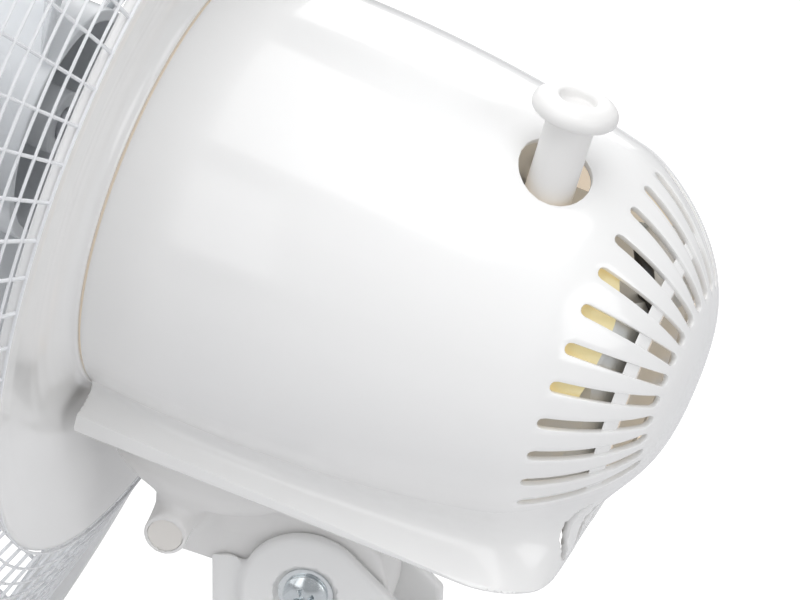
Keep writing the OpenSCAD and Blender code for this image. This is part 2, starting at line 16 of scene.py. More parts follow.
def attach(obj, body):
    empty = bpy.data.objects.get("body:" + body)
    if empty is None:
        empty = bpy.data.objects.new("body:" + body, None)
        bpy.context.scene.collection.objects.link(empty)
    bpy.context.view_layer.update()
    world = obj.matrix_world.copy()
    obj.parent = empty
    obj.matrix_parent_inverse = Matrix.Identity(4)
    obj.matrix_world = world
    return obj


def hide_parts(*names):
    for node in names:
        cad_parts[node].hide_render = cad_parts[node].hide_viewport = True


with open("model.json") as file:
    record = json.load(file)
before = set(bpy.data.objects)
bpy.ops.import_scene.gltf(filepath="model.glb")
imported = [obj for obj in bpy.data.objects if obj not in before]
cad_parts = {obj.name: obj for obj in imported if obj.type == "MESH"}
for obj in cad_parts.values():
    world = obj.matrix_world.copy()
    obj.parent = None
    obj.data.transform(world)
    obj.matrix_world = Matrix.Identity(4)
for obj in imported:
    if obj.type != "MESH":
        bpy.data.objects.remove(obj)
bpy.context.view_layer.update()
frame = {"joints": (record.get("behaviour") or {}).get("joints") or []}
MM = 0.001
JOINTS = {joint["name"]: joint for joint in frame["joints"]}


# ------------------------------------------------------------------ places

def place_of(origin, across, up):
    """Matrix from millimetres in a part's own place to metres in the world."""
    z = Vector(up).normalized()
    x = Vector(across).normalized()
    matrix = Matrix((x, z.cross(x), z)).transposed().to_4x4()
    matrix.translation = origin
    return matrix @ Matrix.Scale(MM, 4)


turn_axis = Vector(JOINTS["turn"]["axis"])
motor_axis = Vector(JOINTS["spin"]["axis"])
KNOB_STATION = 0.050          # from the spin joint's point to the knob's station
STAND = Matrix.Scale(MM, 4)
NECK = place_of(Vector(JOINTS["tilt"]["pos_m"]), Vector((1, 0, 0)), turn_axis)
HEAD = place_of(Vector(JOINTS["spin"]["pos_m"]) + KNOB_STATION * motor_axis,
                motor_axis.cross(turn_axis), turn_axis)

TILT_Z = JOINTS["tilt"]["pos_m"][2] / MM
TURN_Y = -31.6                # turning pin, ahead of the tilt screw, in the neck's place
TURN_BACK = 62.8              # turning pin, ahead of the knob's station, in the head's place


# ------------------------------------------------------------------ meshes

def new_object(name, points, faces, place):
    """A mesh object from points in millimetres, standing at the origin with its place in its mesh."""
    matrix = np.array(place, float)
    points = np.asarray(points, float).reshape(-1, 3) @ matrix[:3, :3].T + matrix[:3, 3]
    mesh = bpy.data.meshes.new(name)
    mesh.from_pydata(points.tolist(), [], [tuple(f) for f in faces])
    mesh.update()
    obj = bpy.data.objects.new(name, mesh)
    bpy.context.scene.collection.objects.link(obj)
    return obj


def tidy_mesh(obj, merge=1e-6, outward=True):
    """Merges doubled points and points the faces outwards."""
    bm = bmesh.new()
    bm.from_mesh(obj.data)
    bmesh.ops.remove_doubles(bm, verts=bm.verts, dist=merge)
    bmesh.ops.dissolve_degenerate(bm, edges=bm.edges, dist=merge / 10)
    if outward:
        bmesh.ops.recalc_face_normals(bm, faces=bm.faces)
    bm.to_mesh(obj.data)
    bm.free()
    return obj


def settle(obj):
    """Turns an object and its modifiers into one plain mesh."""
    bpy.context.view_layer.update()
    evaluated = obj.evaluated_get(bpy.context.evaluated_depsgraph_get())
    mesh = bpy.data.meshes.new_from_object(evaluated)
    obj.modifiers.clear()
    obj.data = mesh
    return obj


def smooth(obj, angle=35):
    """Smooth shading that keeps edges sharper than the angle."""
    mesh = obj.data
    mesh.polygons.foreach_set("use_smooth", [True] * len(mesh.polygons))
    mesh.set_sharp_from_angle(angle=math.radians(angle))
    return obj


def ease_edges(obj, width, segments=2, angle=40):
    """Rounds the edges of a moulded or pressed part by a width in millimetres."""
    bevel = obj.modifiers.new("eased edges", "BEVEL")
    bevel.width = width * MM
    bevel.segments = segments
    bevel.limit_method = "ANGLE"
    bevel.angle_limit = math.radians(angle)
    bevel.harden_normals = False
    return settle(obj)


def join(name, *objs):
    """Several meshes made into one."""
    bm = bmesh.new()
    materials = []
    for obj in objs:
        part = obj.data.copy()
        offset = len(materials)
        materials.extend(list(obj.data.materials) or [None])
        for polygon in part.polygons:
            polygon.material_index += offset
        bm.from_mesh(part)
        bpy.data.objects.remove(obj)
    mesh = bpy.data.meshes.new(name)
    bm.to_mesh(mesh)
    bm.free()
    for material in materials:
        mesh.materials.append(material)
    made = bpy.data.objects.new(name, mesh)
    bpy.context.scene.collection.objects.link(made)
    return made


def eased_outline(points, radius, steps=4, closed=True):
    """An outline with each corner rounded by a radius, or by its own from a list."""
    points = [np.array(p, float) for p in points]
    count = len(points)
    radii = [radius] * count if np.isscalar(radius) else radius
    out = []
    for i, point in enumerate(points):
        if (not closed and i in (0, count - 1)) or radii[i] <= 0:
            out.append(point)
            continue
        before, after = points[i - 1] - point, points[(i + 1) % count] - point
        reach = min(radii[i], np.linalg.norm(before) * 0.49, np.linalg.norm(after) * 0.49)
        start = point + before / np.linalg.norm(before) * reach
        end = point + after / np.linalg.norm(after) * reach
        for t in np.linspace(0, 1, steps + 1):
            out.append((1 - t) ** 2 * start + 2 * t * (1 - t) * point + t ** 2 * end)
    return np.array(out)


def turned(name, outline, place, axis="y", segments=96, closed=True):
    """A turned part: an outline of (radius, height) points taken round an axis."""
    outline = np.asarray(outline, float)
    angles = np.linspace(0, 2 * math.pi, segments, endpoint=False)
    radius, height = outline[:, 0][:, None], outline[:, 1][:, None]
    a, b = radius * np.cos(angles), radius * np.sin(angles)
    h = height + 0 * a
    points = np.stack((a, h, b) if axis == "y" else (a, b, h), -1).reshape(-1, 3)
    rows = len(outline)
    faces = []
    for i in range(rows if closed else rows - 1):
        k = (i + 1) % rows
        for j in range(segments):
            n = (j + 1) % segments
            faces.append((i * segments + j, i * segments + n, k * segments + n, k * segments + j))
    return tidy_mesh(new_object(name, points, faces, place))


def sheet_faces(across, along):
    """Faces of a sheet of points laid out in rows."""
    return [(j * across + i, j * across + i + 1, (j + 1) * across + i + 1, (j + 1) * across + i)
            for j in range(along - 1) for i in range(across - 1)]


def thicken(obj, thickness):
    """Gives a sheet a thickness, half to each side."""
    skin = obj.modifiers.new("thickness", "SOLIDIFY")
    skin.thickness = thickness
    skin.offset = 0
    return settle(obj)


def plate(name, outline, low, high, place, normal="z"):
    """A flat part: an outline given a thickness along X, Y or Z."""
    outline = np.asarray(outline, float)
    count = len(outline)
    points = []
    for level in (low, high):
        for u, v in outline:
            points.append({"z": (u, v, level), "x": (level, u, v), "y": (u, level, v)}[normal])
    faces = [tuple(range(count)), tuple(range(count, 2 * count))]
    faces += [(i, (i + 1) % count, count + (i + 1) % count, count + i) for i in range(count)]
    return tidy_mesh(new_object(name, points, faces, place))


def round_box(width, depth, radius, centre=(0, 0), steps=5):
    """Outline of a box with round corners."""
    w, d = width / 2, depth / 2
    corners = [(-w, -d), (w, -d), (w, d), (-w, d)]
    return eased_outline(corners, radius * 1.3, steps) + np.array(centre)


# ------------------------------------------------------------------ moulded shapes

def meld(a, b, radius):
    """Distance to two bodies run together with a fillet."""
    h = np.clip(0.5 + 0.5 * (b - a) / radius, 0, 1)
    return b + (a - b) * h - radius * h * (1 - h)


def trim(a, b, radius):
    """Distance to what two bodies share, with a rounded edge."""
    return -meld(-a, -b, radius)


def outline_distance(u, v, points):
    """Signed distance to a flat outline, below zero inside it."""
    points = np.asarray(points, float)
    best = np.full(u.shape, 1e9)
    inside = np.zeros(u.shape, bool)
    for i in range(len(points)):
        ax, ay = points[i - 1]
        bx, by = points[i]
        ex, ey = bx - ax, by - ay
        wu, wv = u - ax, v - ay
        t = np.clip((wu * ex + wv * ey) / (ex * ex + ey * ey), 0, 1)
        best = np.minimum(best, (wu - t * ex) ** 2 + (wv - t * ey) ** 2)
        crosses = ((ay <= v) & (by > v)) | ((by <= v) & (ay > v))
        if abs(ey) > 1e-9:
            inside ^= crosses & (u < ax + (v - ay) / ey * ex)
    return np.where(inside, -1, 1) * np.sqrt(best)


def corner_distance(a, b, radius):
    """Distance to a corner between two flat sides, rounded by a radius."""
    return np.hypot(np.maximum(a, 0), np.maximum(b, 0)) + np.minimum(np.maximum(a, b), 0) - radius


def slab_distance(flat, along, low, high, radius):
    """Distance to a flat outline given a thickness, with edges rounded by a radius."""
    over = np.abs(along - (low + high) / 2) - (high - low) / 2 + radius
    flat = flat + radius
    outside = np.sqrt(np.maximum(flat, 0) ** 2 + np.maximum(over, 0) ** 2)
    return outside + np.minimum(np.maximum(flat, over), 0) - radius


def moulded(name, field, low, high, cell, place):
    """A closed skin where the field is nought, drawn on the surface itself."""
    axes = [np.arange(l, h + cell, cell) for l, h in zip(low, high)]
    grid = np.meshgrid(*axes, indexing="ij")
    value = field(*grid)
    shape = np.array(value.shape)
    inside = value < 0
    total = np.zeros(tuple(shape - 1) + (3,))
    count = np.zeros(tuple(shape - 1))
    for axis in range(3):
        one, two = [(axis + 1) % 3, (axis + 2) % 3]
        for p in (0, 1):
            for q in (0, 1):
                first = [slice(None)] * 3
                first[axis] = slice(0, shape[axis] - 1)
                first[one] = slice(p, shape[one] - 1 + p)
                first[two] = slice(q, shape[two] - 1 + q)
                second = list(first)
                second[axis] = slice(1, shape[axis])
                f0, f1 = value[tuple(first)], value[tuple(second)]
                crossed = (f0 < 0) != (f1 < 0)
                share = np.where(crossed, f0 / np.where(crossed, f0 - f1, 1), 0)
                step = np.zeros(crossed.shape + (3,))
                step[..., axis] = share
                step[..., one] = p
                step[..., two] = q
                total += step * crossed[..., None]
                count += crossed
    live = count > 0
    number = np.full(live.shape, -1)
    number[live] = np.arange(live.sum())
    where = np.argwhere(live)
    points = (where + total[live] / count[live][:, None]) * cell + np.array(low)
    faces = []
    for axis in range(3):
        one, two = (axis + 1) % 3, (axis + 2) % 3
        lower = [slice(1, -1)] * 3
        lower[axis] = slice(0, shape[axis] - 1)
        upper = list(lower)
        upper[axis] = slice(1, shape[axis])
        start, end = inside[tuple(lower)], inside[tuple(upper)]
        for flip, edge in ((False, start & ~end), (True, ~start & end)):
            at = np.argwhere(edge)
            at[:, one] += 1
            at[:, two] += 1
            ring = []
            for p, q in ((-1, -1), (0, -1), (0, 0), (-1, 0)):
                spot = at.copy()
                spot[:, one] += p
                spot[:, two] += q
                ring.append(number[spot[:, 0], spot[:, 1], spot[:, 2]])
            ring = np.stack(ring[::-1] if flip else ring, -1)
            faces.append(ring)
    faces = np.concatenate(faces)
    for _ in range(3):
        x, y, z = points.T
        here = field(x, y, z)
        tiny = 0.02
        slope = np.stack([field(x + tiny, y, z) - field(x - tiny, y, z),
                          field(x, y + tiny, z) - field(x, y - tiny, z),
                          field(x, y, z + tiny) - field(x, y, z - tiny)], -1) / (2 * tiny)
        size = np.maximum((slope ** 2).sum(-1), 0.2)
        move = -here / size
        points = points + np.clip(move, -cell / 2, cell / 2)[:, None] * slope
    return new_object(name, points, faces.tolist(), place)


# ------------------------------------------------------------------ finishes

def group_socket(tree, name, way, kind, value=None):
    """A named input or output of a node group."""
    socket = tree.interface.new_socket(name=name, in_out=way, socket_type=kind)
    if value is not None:
        socket.default_value = value
    return socket


def group_ends(tree):
    """The nodes that take a group's inputs and give its outputs."""
    return tree.nodes.new("NodeGroupInput"), tree.nodes.new("NodeGroupOutput")


def node_of(tree, kind, inputs=(), **settings):
    """A node with its settings made and its inputs set or joined."""
    node = tree.nodes.new(kind)
    for key, value in settings.items():
        setattr(node, key, value)
    for key, value in dict(inputs).items():
        if isinstance(value, bpy.types.NodeSocket):
            tree.links.new(value, node.inputs[key])
        else:
            node.inputs[key].default_value = value
    return node


def grain_group():
    """Fine surface grain with slow waves under it, as a height and a broad mottle."""
    tree = bpy.data.node_groups.new("surface_grain", "ShaderNodeTree")
    group_socket(tree, "Grain Scale", "INPUT", "NodeSocketFloat", 900.0)
    group_socket(tree, "Wave Scale", "INPUT", "NodeSocketFloat", 40.0)
    group_socket(tree, "Wave Share", "INPUT", "NodeSocketFloat", 0.5)
    group_socket(tree, "Height", "OUTPUT", "NodeSocketFloat")
    group_socket(tree, "Mottle", "OUTPUT", "NodeSocketFloat")
    ends = group_ends(tree)
    place = node_of(tree, "ShaderNodeTexCoord").outputs["Object"]
    fine = node_of(tree, "ShaderNodeTexNoise", {"Vector": place, "Scale": ends[0].outputs[0],
                                                "Detail": 3.0, "Roughness": 0.6})
    slow = node_of(tree, "ShaderNodeTexNoise", {"Vector": place, "Scale": ends[0].outputs[1],
                                                "Detail": 2.0})
    mixed = node_of(tree, "ShaderNodeMix", {0: ends[0].outputs[2], 2: fine.outputs["Fac"],
                                            3: slow.outputs["Fac"]}, data_type="FLOAT")
    tree.links.new(mixed.outputs[0], ends[1].inputs[0])
    tree.links.new(slow.outputs["Fac"], ends[1].inputs[1])
    return tree


def wear_group():
    """Edges rubbed by use and dust settled in corners, as two masks."""
    tree = bpy.data.node_groups.new("edge_wear", "ShaderNodeTree")
    group_socket(tree, "Patch Scale", "INPUT", "NodeSocketFloat", 120.0)
    group_socket(tree, "Edge", "OUTPUT", "NodeSocketFloat")
    group_socket(tree, "Corner", "OUTPUT", "NodeSocketFloat")
    ends = group_ends(tree)
    point = node_of(tree, "ShaderNodeNewGeometry").outputs["Pointiness"]
    place = node_of(tree, "ShaderNodeTexCoord").outputs["Object"]
    patch = node_of(tree, "ShaderNodeTexNoise", {"Vector": place, "Scale": ends[0].outputs[0],
                                                 "Detail": 4.0}).outputs["Fac"]
    for slot, low, high in ((0, 0.53, 0.62), (1, 0.47, 0.40)):
        ramp = node_of(tree, "ShaderNodeMapRange", {"Value": point, "From Min": low,
                                                    "From Max": high})
        broken = node_of(tree, "ShaderNodeMath", {0: ramp.outputs[0], 1: patch},
                         operation="MULTIPLY")
        tree.links.new(broken.outputs[0], ends[1].inputs[slot])
    return tree


def brushed_group():
    """Fine turning or drawing lines round or along a metal part."""
    tree = bpy.data.node_groups.new("tool_lines", "ShaderNodeTree")
    group_socket(tree, "Stretch", "INPUT", "NodeSocketVector", (40.0, 900.0, 900.0))
    group_socket(tree, "Height", "OUTPUT", "NodeSocketFloat")
    ends = group_ends(tree)
    place = node_of(tree, "ShaderNodeTexCoord").outputs["Object"]
    drawn = node_of(tree, "ShaderNodeVectorMath", {0: place, 1: ends[0].outputs[0]},
                    operation="MULTIPLY")
    lines = node_of(tree, "ShaderNodeTexNoise", {"Vector": drawn.outputs[0], "Scale": 1.0,
                                                 "Detail": 4.0})
    tree.links.new(lines.outputs["Fac"], ends[1].inputs[0])
    return tree


GRAIN, WEAR, LINES = grain_group(), wear_group(), brushed_group()


def finish_of(name, colour, rough, metal=0.0, shade=0.03, grain=900.0, waves=40.0, share=0.5,
              depth=0.02, worn=None, dusty=None, lines=None, coat=0.0, ior=1.46,
              translucent=0.0, glow=0.0, rough_spread=0.06):
    """A finish with mottled colour, rubbed edges, dusty corners, uneven gloss and a fine relief; a glow
    paints light onto a part that is no lamp.
    """
    material = bpy.data.materials.new(name)
    material.use_nodes = True
    tree = material.node_tree
    shader = tree.nodes["Principled BSDF"]
    grains = node_of(tree, "ShaderNodeGroup", node_tree=GRAIN)
    for slot, value in enumerate((grain, waves, share)):
        grains.inputs[slot].default_value = value
    wear = node_of(tree, "ShaderNodeGroup", node_tree=WEAR)
    wear.inputs[0].default_value = waves * 3
    base = Vector(colour)
    dark = tuple(base * (1 - shade)) + (1,)
    light = tuple(min(1, c) for c in base * (1 + shade * 0.5)) + (1,)
    worn = tuple(min(1, c * 1.04) for c in colour) if worn is None else worn
    dusty = tuple(c * 0.86 for c in colour) if dusty is None else dusty
    tone = node_of(tree, "ShaderNodeMix", {0: grains.outputs["Mottle"], 6: dark, 7: light},
                   data_type="RGBA").outputs[2]
    tone = node_of(tree, "ShaderNodeMix", {0: wear.outputs["Edge"], 6: tone,
                                           7: tuple(worn) + (1,)}, data_type="RGBA").outputs[2]
    tone = node_of(tree, "ShaderNodeMix", {0: wear.outputs["Corner"], 6: tone,
                                           7: tuple(dusty) + (1,)}, data_type="RGBA").outputs[2]
    tree.links.new(tone, shader.inputs["Base Color"])
    gloss = node_of(tree, "ShaderNodeMapRange", {
        "Value": grains.outputs["Mottle"], "From Min": 0.25, "From Max": 0.75,
        "To Min": max(0.02, rough - rough_spread), "To Max": min(1, rough + rough_spread)})
    tree.links.new(gloss.outputs[0], shader.inputs["Roughness"])
    height = grains.outputs["Height"]
    if lines is not None:
        drawn = node_of(tree, "ShaderNodeGroup", node_tree=LINES)
        drawn.inputs[0].default_value = lines
        height = drawn.outputs[0]
    bump = node_of(tree, "ShaderNodeBump", {"Height": height, "Strength": 1.0,
                                            "Distance": depth * MM})
    tree.links.new(bump.outputs[0], shader.inputs["Normal"])
    shader.inputs["Metallic"].default_value = metal
    shader.inputs["IOR"].default_value = ior
    shader.inputs["Coat Weight"].default_value = coat
    shader.inputs["Coat Roughness"].default_value = 0.05
    if translucent:
        shader.inputs["Subsurface Weight"].default_value = translucent
        shader.inputs["Subsurface Radius"].default_value = (1.0, 0.62, 0.38)
        shader.inputs["Subsurface Scale"].default_value = 0.004
    # Painted light: an emitted glow on a part that is no lamp.
    if glow:
        shader.inputs["Emission Color"].default_value = tuple(colour) + (1,)
        shader.inputs["Emission Strength"].default_value = glow
    return material


WHITE_SHELL = finish_of("white_shell_gloss", (0.88, 0.878, 0.872), 0.22, shade=0.012, grain=300.0,
                        waves=18.0, share=0.85, depth=0.015, coat=0.45, rough_spread=0.03)
# Painted warm shade: the beige stands in for shade inside the white shell, and the glow paints light let
# through the thin wall.
SHELL_INSIDE_SHADE_GLOW = finish_of("shell_inside_painted_shade_glow", (0.74, 0.65, 0.54), 0.6, shade=0.05, grain=600.0,
                         depth=0.03, glow=0.6)
WHITE_SATIN = finish_of("white_moulded_satin", (0.815, 0.808, 0.798), 0.42, shade=0.015,
                        grain=1400.0, waves=60.0, share=0.25, depth=0.015)
WHITE_STAND = finish_of("white_stand_plastic", (0.85, 0.85, 0.845), 0.3, shade=0.015,
                        waves=25.0)
WHITE_BLADE = finish_of("blade_plastic", (0.78, 0.8, 0.82), 0.25, shade=0.02, grain=500.0,
                        waves=20.0)
WIRE_COAT = finish_of("wire_coating", (0.8, 0.81, 0.83), 0.28, shade=0.04, grain=1500.0,
                      waves=120.0, coat=0.2)
BAND_COAT = finish_of("band_plastic", (0.84, 0.84, 0.84), 0.3, shade=0.02)
ZINC = finish_of("zinc_plate", (0.66, 0.7, 0.72), 0.2, metal=1.0, shade=0.12, waves=400.0,
                 depth=0.012, lines=(900.0, 60.0, 60.0), worn=(0.85, 0.87, 0.88),
                 dusty=(0.16, 0.2, 0.2), rough_spread=0.1)
STEEL = finish_of("ground_steel", (0.6, 0.61, 0.63), 0.28, metal=1.0, shade=0.08, waves=200.0,
                  depth=0.01, lines=(900.0, 60.0, 900.0))
CAST_ALLOY = finish_of("cast_alloy", (0.55, 0.57, 0.58), 0.5, metal=0.9, shade=0.1, grain=700.0,
                       waves=90.0, depth=0.08)
LAMINATION = finish_of("iron_laminations", (0.055, 0.055, 0.055), 0.5, metal=0.5, shade=0.3,
                       depth=0.1, lines=(30.0, 2200.0, 30.0))
COPPER = finish_of("enamelled_copper", (0.62, 0.26, 0.08), 0.3, metal=0.9, shade=0.25,
                   waves=300.0, depth=0.05, coat=0.4)
# The tape's yellow is its own colour; its small glow is painted light in the slots.
YELLOW_TAPE = finish_of("yellow_film_tape", (0.74, 0.66, 0.37), 0.35, shade=0.12, grain=1800.0,
                        waves=90.0, depth=0.05, coat=0.2, glow=0.1)
BRONZE = finish_of("sintered_bronze", (0.5, 0.34, 0.16), 0.5, metal=0.9, shade=0.2,
                   grain=2500.0, depth=0.05)
NYLON = finish_of("gear_nylon", (0.72, 0.68, 0.56), 0.4, shade=0.06, depth=0.03)
BLACK_PLASTIC = finish_of("black_plastic", (0.02, 0.02, 0.022), 0.4, shade=0.3, grain=1400.0,
                          depth=0.03, worn=(0.07, 0.07, 0.07), dusty=(0.05, 0.05, 0.045))
RUBBER = finish_of("foot_rubber", (0.025, 0.025, 0.026), 0.75, shade=0.3, grain=1600.0,
                   depth=0.05, worn=(0.07, 0.07, 0.07), dusty=(0.1, 0.095, 0.09))
DARK_PLATE = finish_of("base_plate_steel", (0.07, 0.07, 0.075), 0.5, metal=0.4, shade=0.15,
                       grain=1000.0, waves=60.0, depth=0.05)
IRON = finish_of("cast_iron", (0.12, 0.12, 0.125), 0.6, metal=0.7, shade=0.25, grain=500.0,
                 depth=0.2)
KEY_GREY = finish_of("key_plastic", (0.62, 0.63, 0.64), 0.38, shade=0.02, grain=1600.0,
                     share=0.2)
KEY_RED = finish_of("red_key_plastic", (0.55, 0.045, 0.03), 0.38, shade=0.04, grain=1600.0,
                    share=0.2)
PRINT_INK = finish_of("print_ink", (0.05, 0.055, 0.06), 0.5, shade=0.1, depth=0.01)
DISC_SILVER = finish_of("brushed_disc", (0.68, 0.69, 0.7), 0.3, metal=1.0, shade=0.06,
                        waves=30.0, depth=0.012, lines=(30.0, 30.0, 1500.0))
# Painted warm shadow: the beige stands in for shadow in the seam's gap, and the glow paints light on the
# spigot.
SEAM_LIP_SHADE_GLOW = finish_of("seam_lip_painted_shade_glow", (0.8, 0.74, 0.66), 0.5, shade=0.04, glow=0.22)
PEG_FACE = finish_of("sunk_peg_face", (0.78, 0.755, 0.72), 0.5, shade=0.03, grain=1000.0)


def hand_over(obj, body, slot, materials, *nodes):
    """Gives a finished piece its materials, its body and the nodes it stands for; its slot is not used.
    """
    if materials is not None:
        obj.data.materials.clear()
        for material in materials if isinstance(materials, (list, tuple)) else [materials]:
            obj.data.materials.append(material)
    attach(obj, body)
    if nodes:
        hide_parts(*nodes)
    return obj


# ------------------------------------------------------------------ motor housing

SEAM_Y, DOME_Y, END_Y = -87.9, 12.3, 43.1
SHELL_R = 54.67
SLOT_FROM, SLOT_TO, SLOT_WIDE = 18.2, 39.5, 2.8
SLOT_PITCH, SLOT_FIRST, SLOTS = 12, -36, 22
RIM_Z, RIM_LIFT = -53, 1.2
RIM_SLOPE, RIM_LEVEL_Y = 0.04, 25      # the rim rises to the rear and runs level from here
SHELL_WALL, SKIRT_WALL = 1.6, 2.0
KNOB_X, KNOB_HOLE = 17.7, 8.6
PIN_OPENING_R, MIDDLE_OPENING_R = 25.2, 18
SKIRT_FROM_Z = -30            # the barrel's faces below this may lie inside the skirt
SKIRT_TEST_Z = -49            # lowest height at which they are tested, above the skirt's rim
SKIRT_DEPTH = 2.2             # how deep in the skirt a face lies before it is left out
SKIRT_CELL = 0.75


def barrel_radius(y):
    """Radius of the housing's barrel at a station along the motor."""
    v = (y - SEAM_Y) / (END_Y - SEAM_Y)
    u = np.clip((y - DOME_Y) / (END_Y - DOME_Y), 0, 1)
    straight = SHELL_R * (1 - 0.284 * v) + 5.87 * 4 * v * (1 - v)
    return straight * np.power(np.maximum(0, 1 - u ** 1.548), 0.3165)


def rim_height(y):
    """Height of the skirt's lower rim, which rises to the rear."""
    return RIM_Z + RIM_LIFT + RIM_SLOPE * np.minimum(y, RIM_LEVEL_Y)


def skirt_distance(x, y, z):
    """Roughly the distance to the skirt under the barrel."""
    flare = np.clip((-30 - z) / 20, 0, 1)
    across, along = np.abs(x) - 6 - 12.8 * flare ** 3, y - 11.5
    plan = corner_distance(across, along, 20)
    rear = (y - 36.5 - (z + 20) * 0.203) * 0.98
    upright = trim(plan, rear, 3)
    return trim(trim(upright, z + 22, 1), rim_height(y) - z, 1.6)


def housing_distance(x, y, z):
    """Roughly the distance to the barrel with its skirt run into it."""
    barrel = np.hypot(x, z) - barrel_radius(y)
    return np.maximum(meld(barrel, skirt_distance(x, y, z), 8.0), rim_height(y) - z)


def outer_housing_skin():
    """Points and faces of the housing's outside, with its cooling slots and the knob's hole left open."""
    y = np.concatenate([np.linspace(SEAM_Y, DOME_Y, 400)[:-1],
                        DOME_Y + (END_Y - DOME_Y) * np.sin(np.linspace(0, math.pi / 2, 1600))])
    radius = barrel_radius(y)
    run = np.concatenate([[0], np.cumsum(np.hypot(np.diff(y), np.diff(radius)))])
    half = SLOT_WIDE / 2
    first, last = np.interp([SLOT_FROM, SLOT_TO], y, run)
    rows = np.concatenate([
        np.linspace(0, first - 3.2, 54), [first - 1.1],
        np.linspace(first + half, last - half, 22), [last + 1.1],
        np.linspace(last + 3.2, run[-1], 12)])
    bulge = np.zeros(len(rows))
    row_a = 55
    row_b = row_a + 21
    bulge[[row_a - 2, row_a - 1, row_a]] = -0.25 * half, -0.6 * half, -half
    bulge[[row_b, row_b + 1, row_b + 2]] = half, 0.6 * half, 0.25 * half
    row_radius = np.interp(np.clip(rows, first - 8, last), run, radius)
    edge = np.degrees(np.arcsin(half / row_radius))
    angle, swell, slotted = [], [], []

    def column(at, swollen=0, in_slot=False):
        """Adds one column of points: its angle, its share of a slot's round end, and if it is open."""
        angle.append(at)
        swell.append(swollen)
        slotted.append(in_slot)

    across = np.radians([-90, -60, -30, 0, 30, 60, 90])
    for sector in range(30):
        centre = SLOT_FIRST + SLOT_PITCH * sector
        if sector < SLOTS:
            for k, turn in enumerate(across):
                column(centre + edge * math.sin(turn), math.cos(turn), k < 6)
            bars = 4
            for k in range(1, bars):
                column(centre + edge + (SLOT_PITCH - 2 * edge) * k / bars)
            if sector == SLOTS - 1:      # the last bar runs only to the start of the plain part
                del angle[-3:], swell[-3:], slotted[-3:]
                for k in range(1, 3):
                    column(centre + edge + (SLOT_PITCH / 2 - edge) * k / 3)
        else:
            for k in range(8):
                column(centre - SLOT_PITCH / 2 + SLOT_PITCH * k / 8 + 0 * edge)
    for k in range(2):                   # from the plain part up to the first slot
        column(SLOT_FIRST - SLOT_PITCH / 2 + (SLOT_PITCH / 2 - edge) * k / 2 + 360)
    angle = np.radians(np.stack(angle, 1))
    length = rows[:, None] + bulge[:, None] * np.array(swell)[None, :]
    py = np.interp(length, run, y)
    pr = np.interp(length, run, radius)
    px, pz = pr * np.cos(angle), pr * np.sin(angle)

    # the knob's round hole, eased into the rows and columns about it
    square, reach = 6.9, 17.0
    level = int(np.argmin(np.abs(py[:, 0])))
    upper = pz[level] > 0
    a_all = np.where(upper, px[level] - KNOB_X, 99)
    columns = np.where(np.abs(a_all) <= square)[0]
    lines = np.where(np.abs(py[:, 0]) <= square)[0]

    def squared(value, low, high):
        """Stretches the span from low to high to the square round the hole."""
        inner = -square + (value - low) / (high - low) * 2 * square
        return np.where(value < low, value - low - square,
                        np.where(value > high, value - high + square, inner))

    ends = sorted((a_all[columns[0]], a_all[columns[-1]]))
    a = squared(a_all, *ends)[None, :] + 0 * py
    b = squared(py[:, 0], py[lines[0], 0], py[lines[-1], 0])[:, None] + 0 * py
    most = np.maximum(np.abs(a), np.abs(b))
    share = np.clip((most - square) / (reach - square), 0, 1)
    weight = np.where(upper[None, :], 1 - share * share * (3 - 2 * share), 0)
    away = np.hypot(a, b) + 1e-9
    round_x = KNOB_X + a / away * KNOB_HOLE * most / square
    round_y = b / away * KNOB_HOLE * most / square
    nx = weight * round_x + (1 - weight) * px
    ny = weight * round_y + (1 - weight) * py
    near = weight > 0
    px = np.where(near, nx, px)
    py = np.where(near, ny, py)
    pz = np.where(near, np.sqrt(np.maximum(barrel_radius(py) ** 2 - px ** 2, 0)), pz)

    total = angle.shape[1]
    faces = []
    in_slot = np.array(slotted)
    hole = set(columns[:-1])
    for i in range(len(rows) - 1):
        for j in range(total):
            if row_a <= i < row_b and in_slot[j]:
                continue
            if lines[0] <= i < lines[-1] and j in hole:
                continue
            k = (j + 1) % total
            tested_z = max(pz[i, j], SKIRT_TEST_Z)
            if pz[i, j] < SKIRT_FROM_Z and skirt_distance(px[i, j], py[i, j], tested_z) < -SKIRT_DEPTH:
                continue
            faces.append((i * total + j, i * total + k, (i + 1) * total + k, (i + 1) * total + j))
    return np.stack((px, py, pz), -1).reshape(-1, 3), faces


def skirt_wall(x, y, z):
    """Roughly the distance to the skirt's wall, with its fillet, floor openings and rear slots."""
    outside = housing_distance(x, y, z)
    body = np.maximum(np.maximum(outside + 0.04, skirt_distance(x, y, z) - 7.5), SEAM_Y - y)
    body = np.maximum(body, -(outside + SKIRT_WALL))
    pin_hole = np.maximum(np.hypot(x, y + TURN_BACK) - PIN_OPENING_R, -84 - y)
    round_holes = np.minimum(pin_hole, np.hypot(x, y - 13) - MIDDLE_OPENING_R)
    floor_holes = np.maximum(round_holes, z + 48)
    beside = np.abs(x - 6 * np.clip(np.round(x / 6), -3, 3))
    slot = np.hypot(beside, np.maximum(np.abs(z + 38.5) - 7.6, 0)) - 0.95
    rear_slots = np.maximum(slot, 24 - y)
    return np.maximum(body, -np.minimum(floor_holes, rear_slots))


def drop_loose(obj):
    """Takes away points that belong to no face."""
    bm = bmesh.new()
    bm.from_mesh(obj.data)
    bmesh.ops.delete(bm, geom=[v for v in bm.verts if not v.link_faces], context="VERTS")
    bm.to_mesh(obj.data)
    bm.free()
    return obj


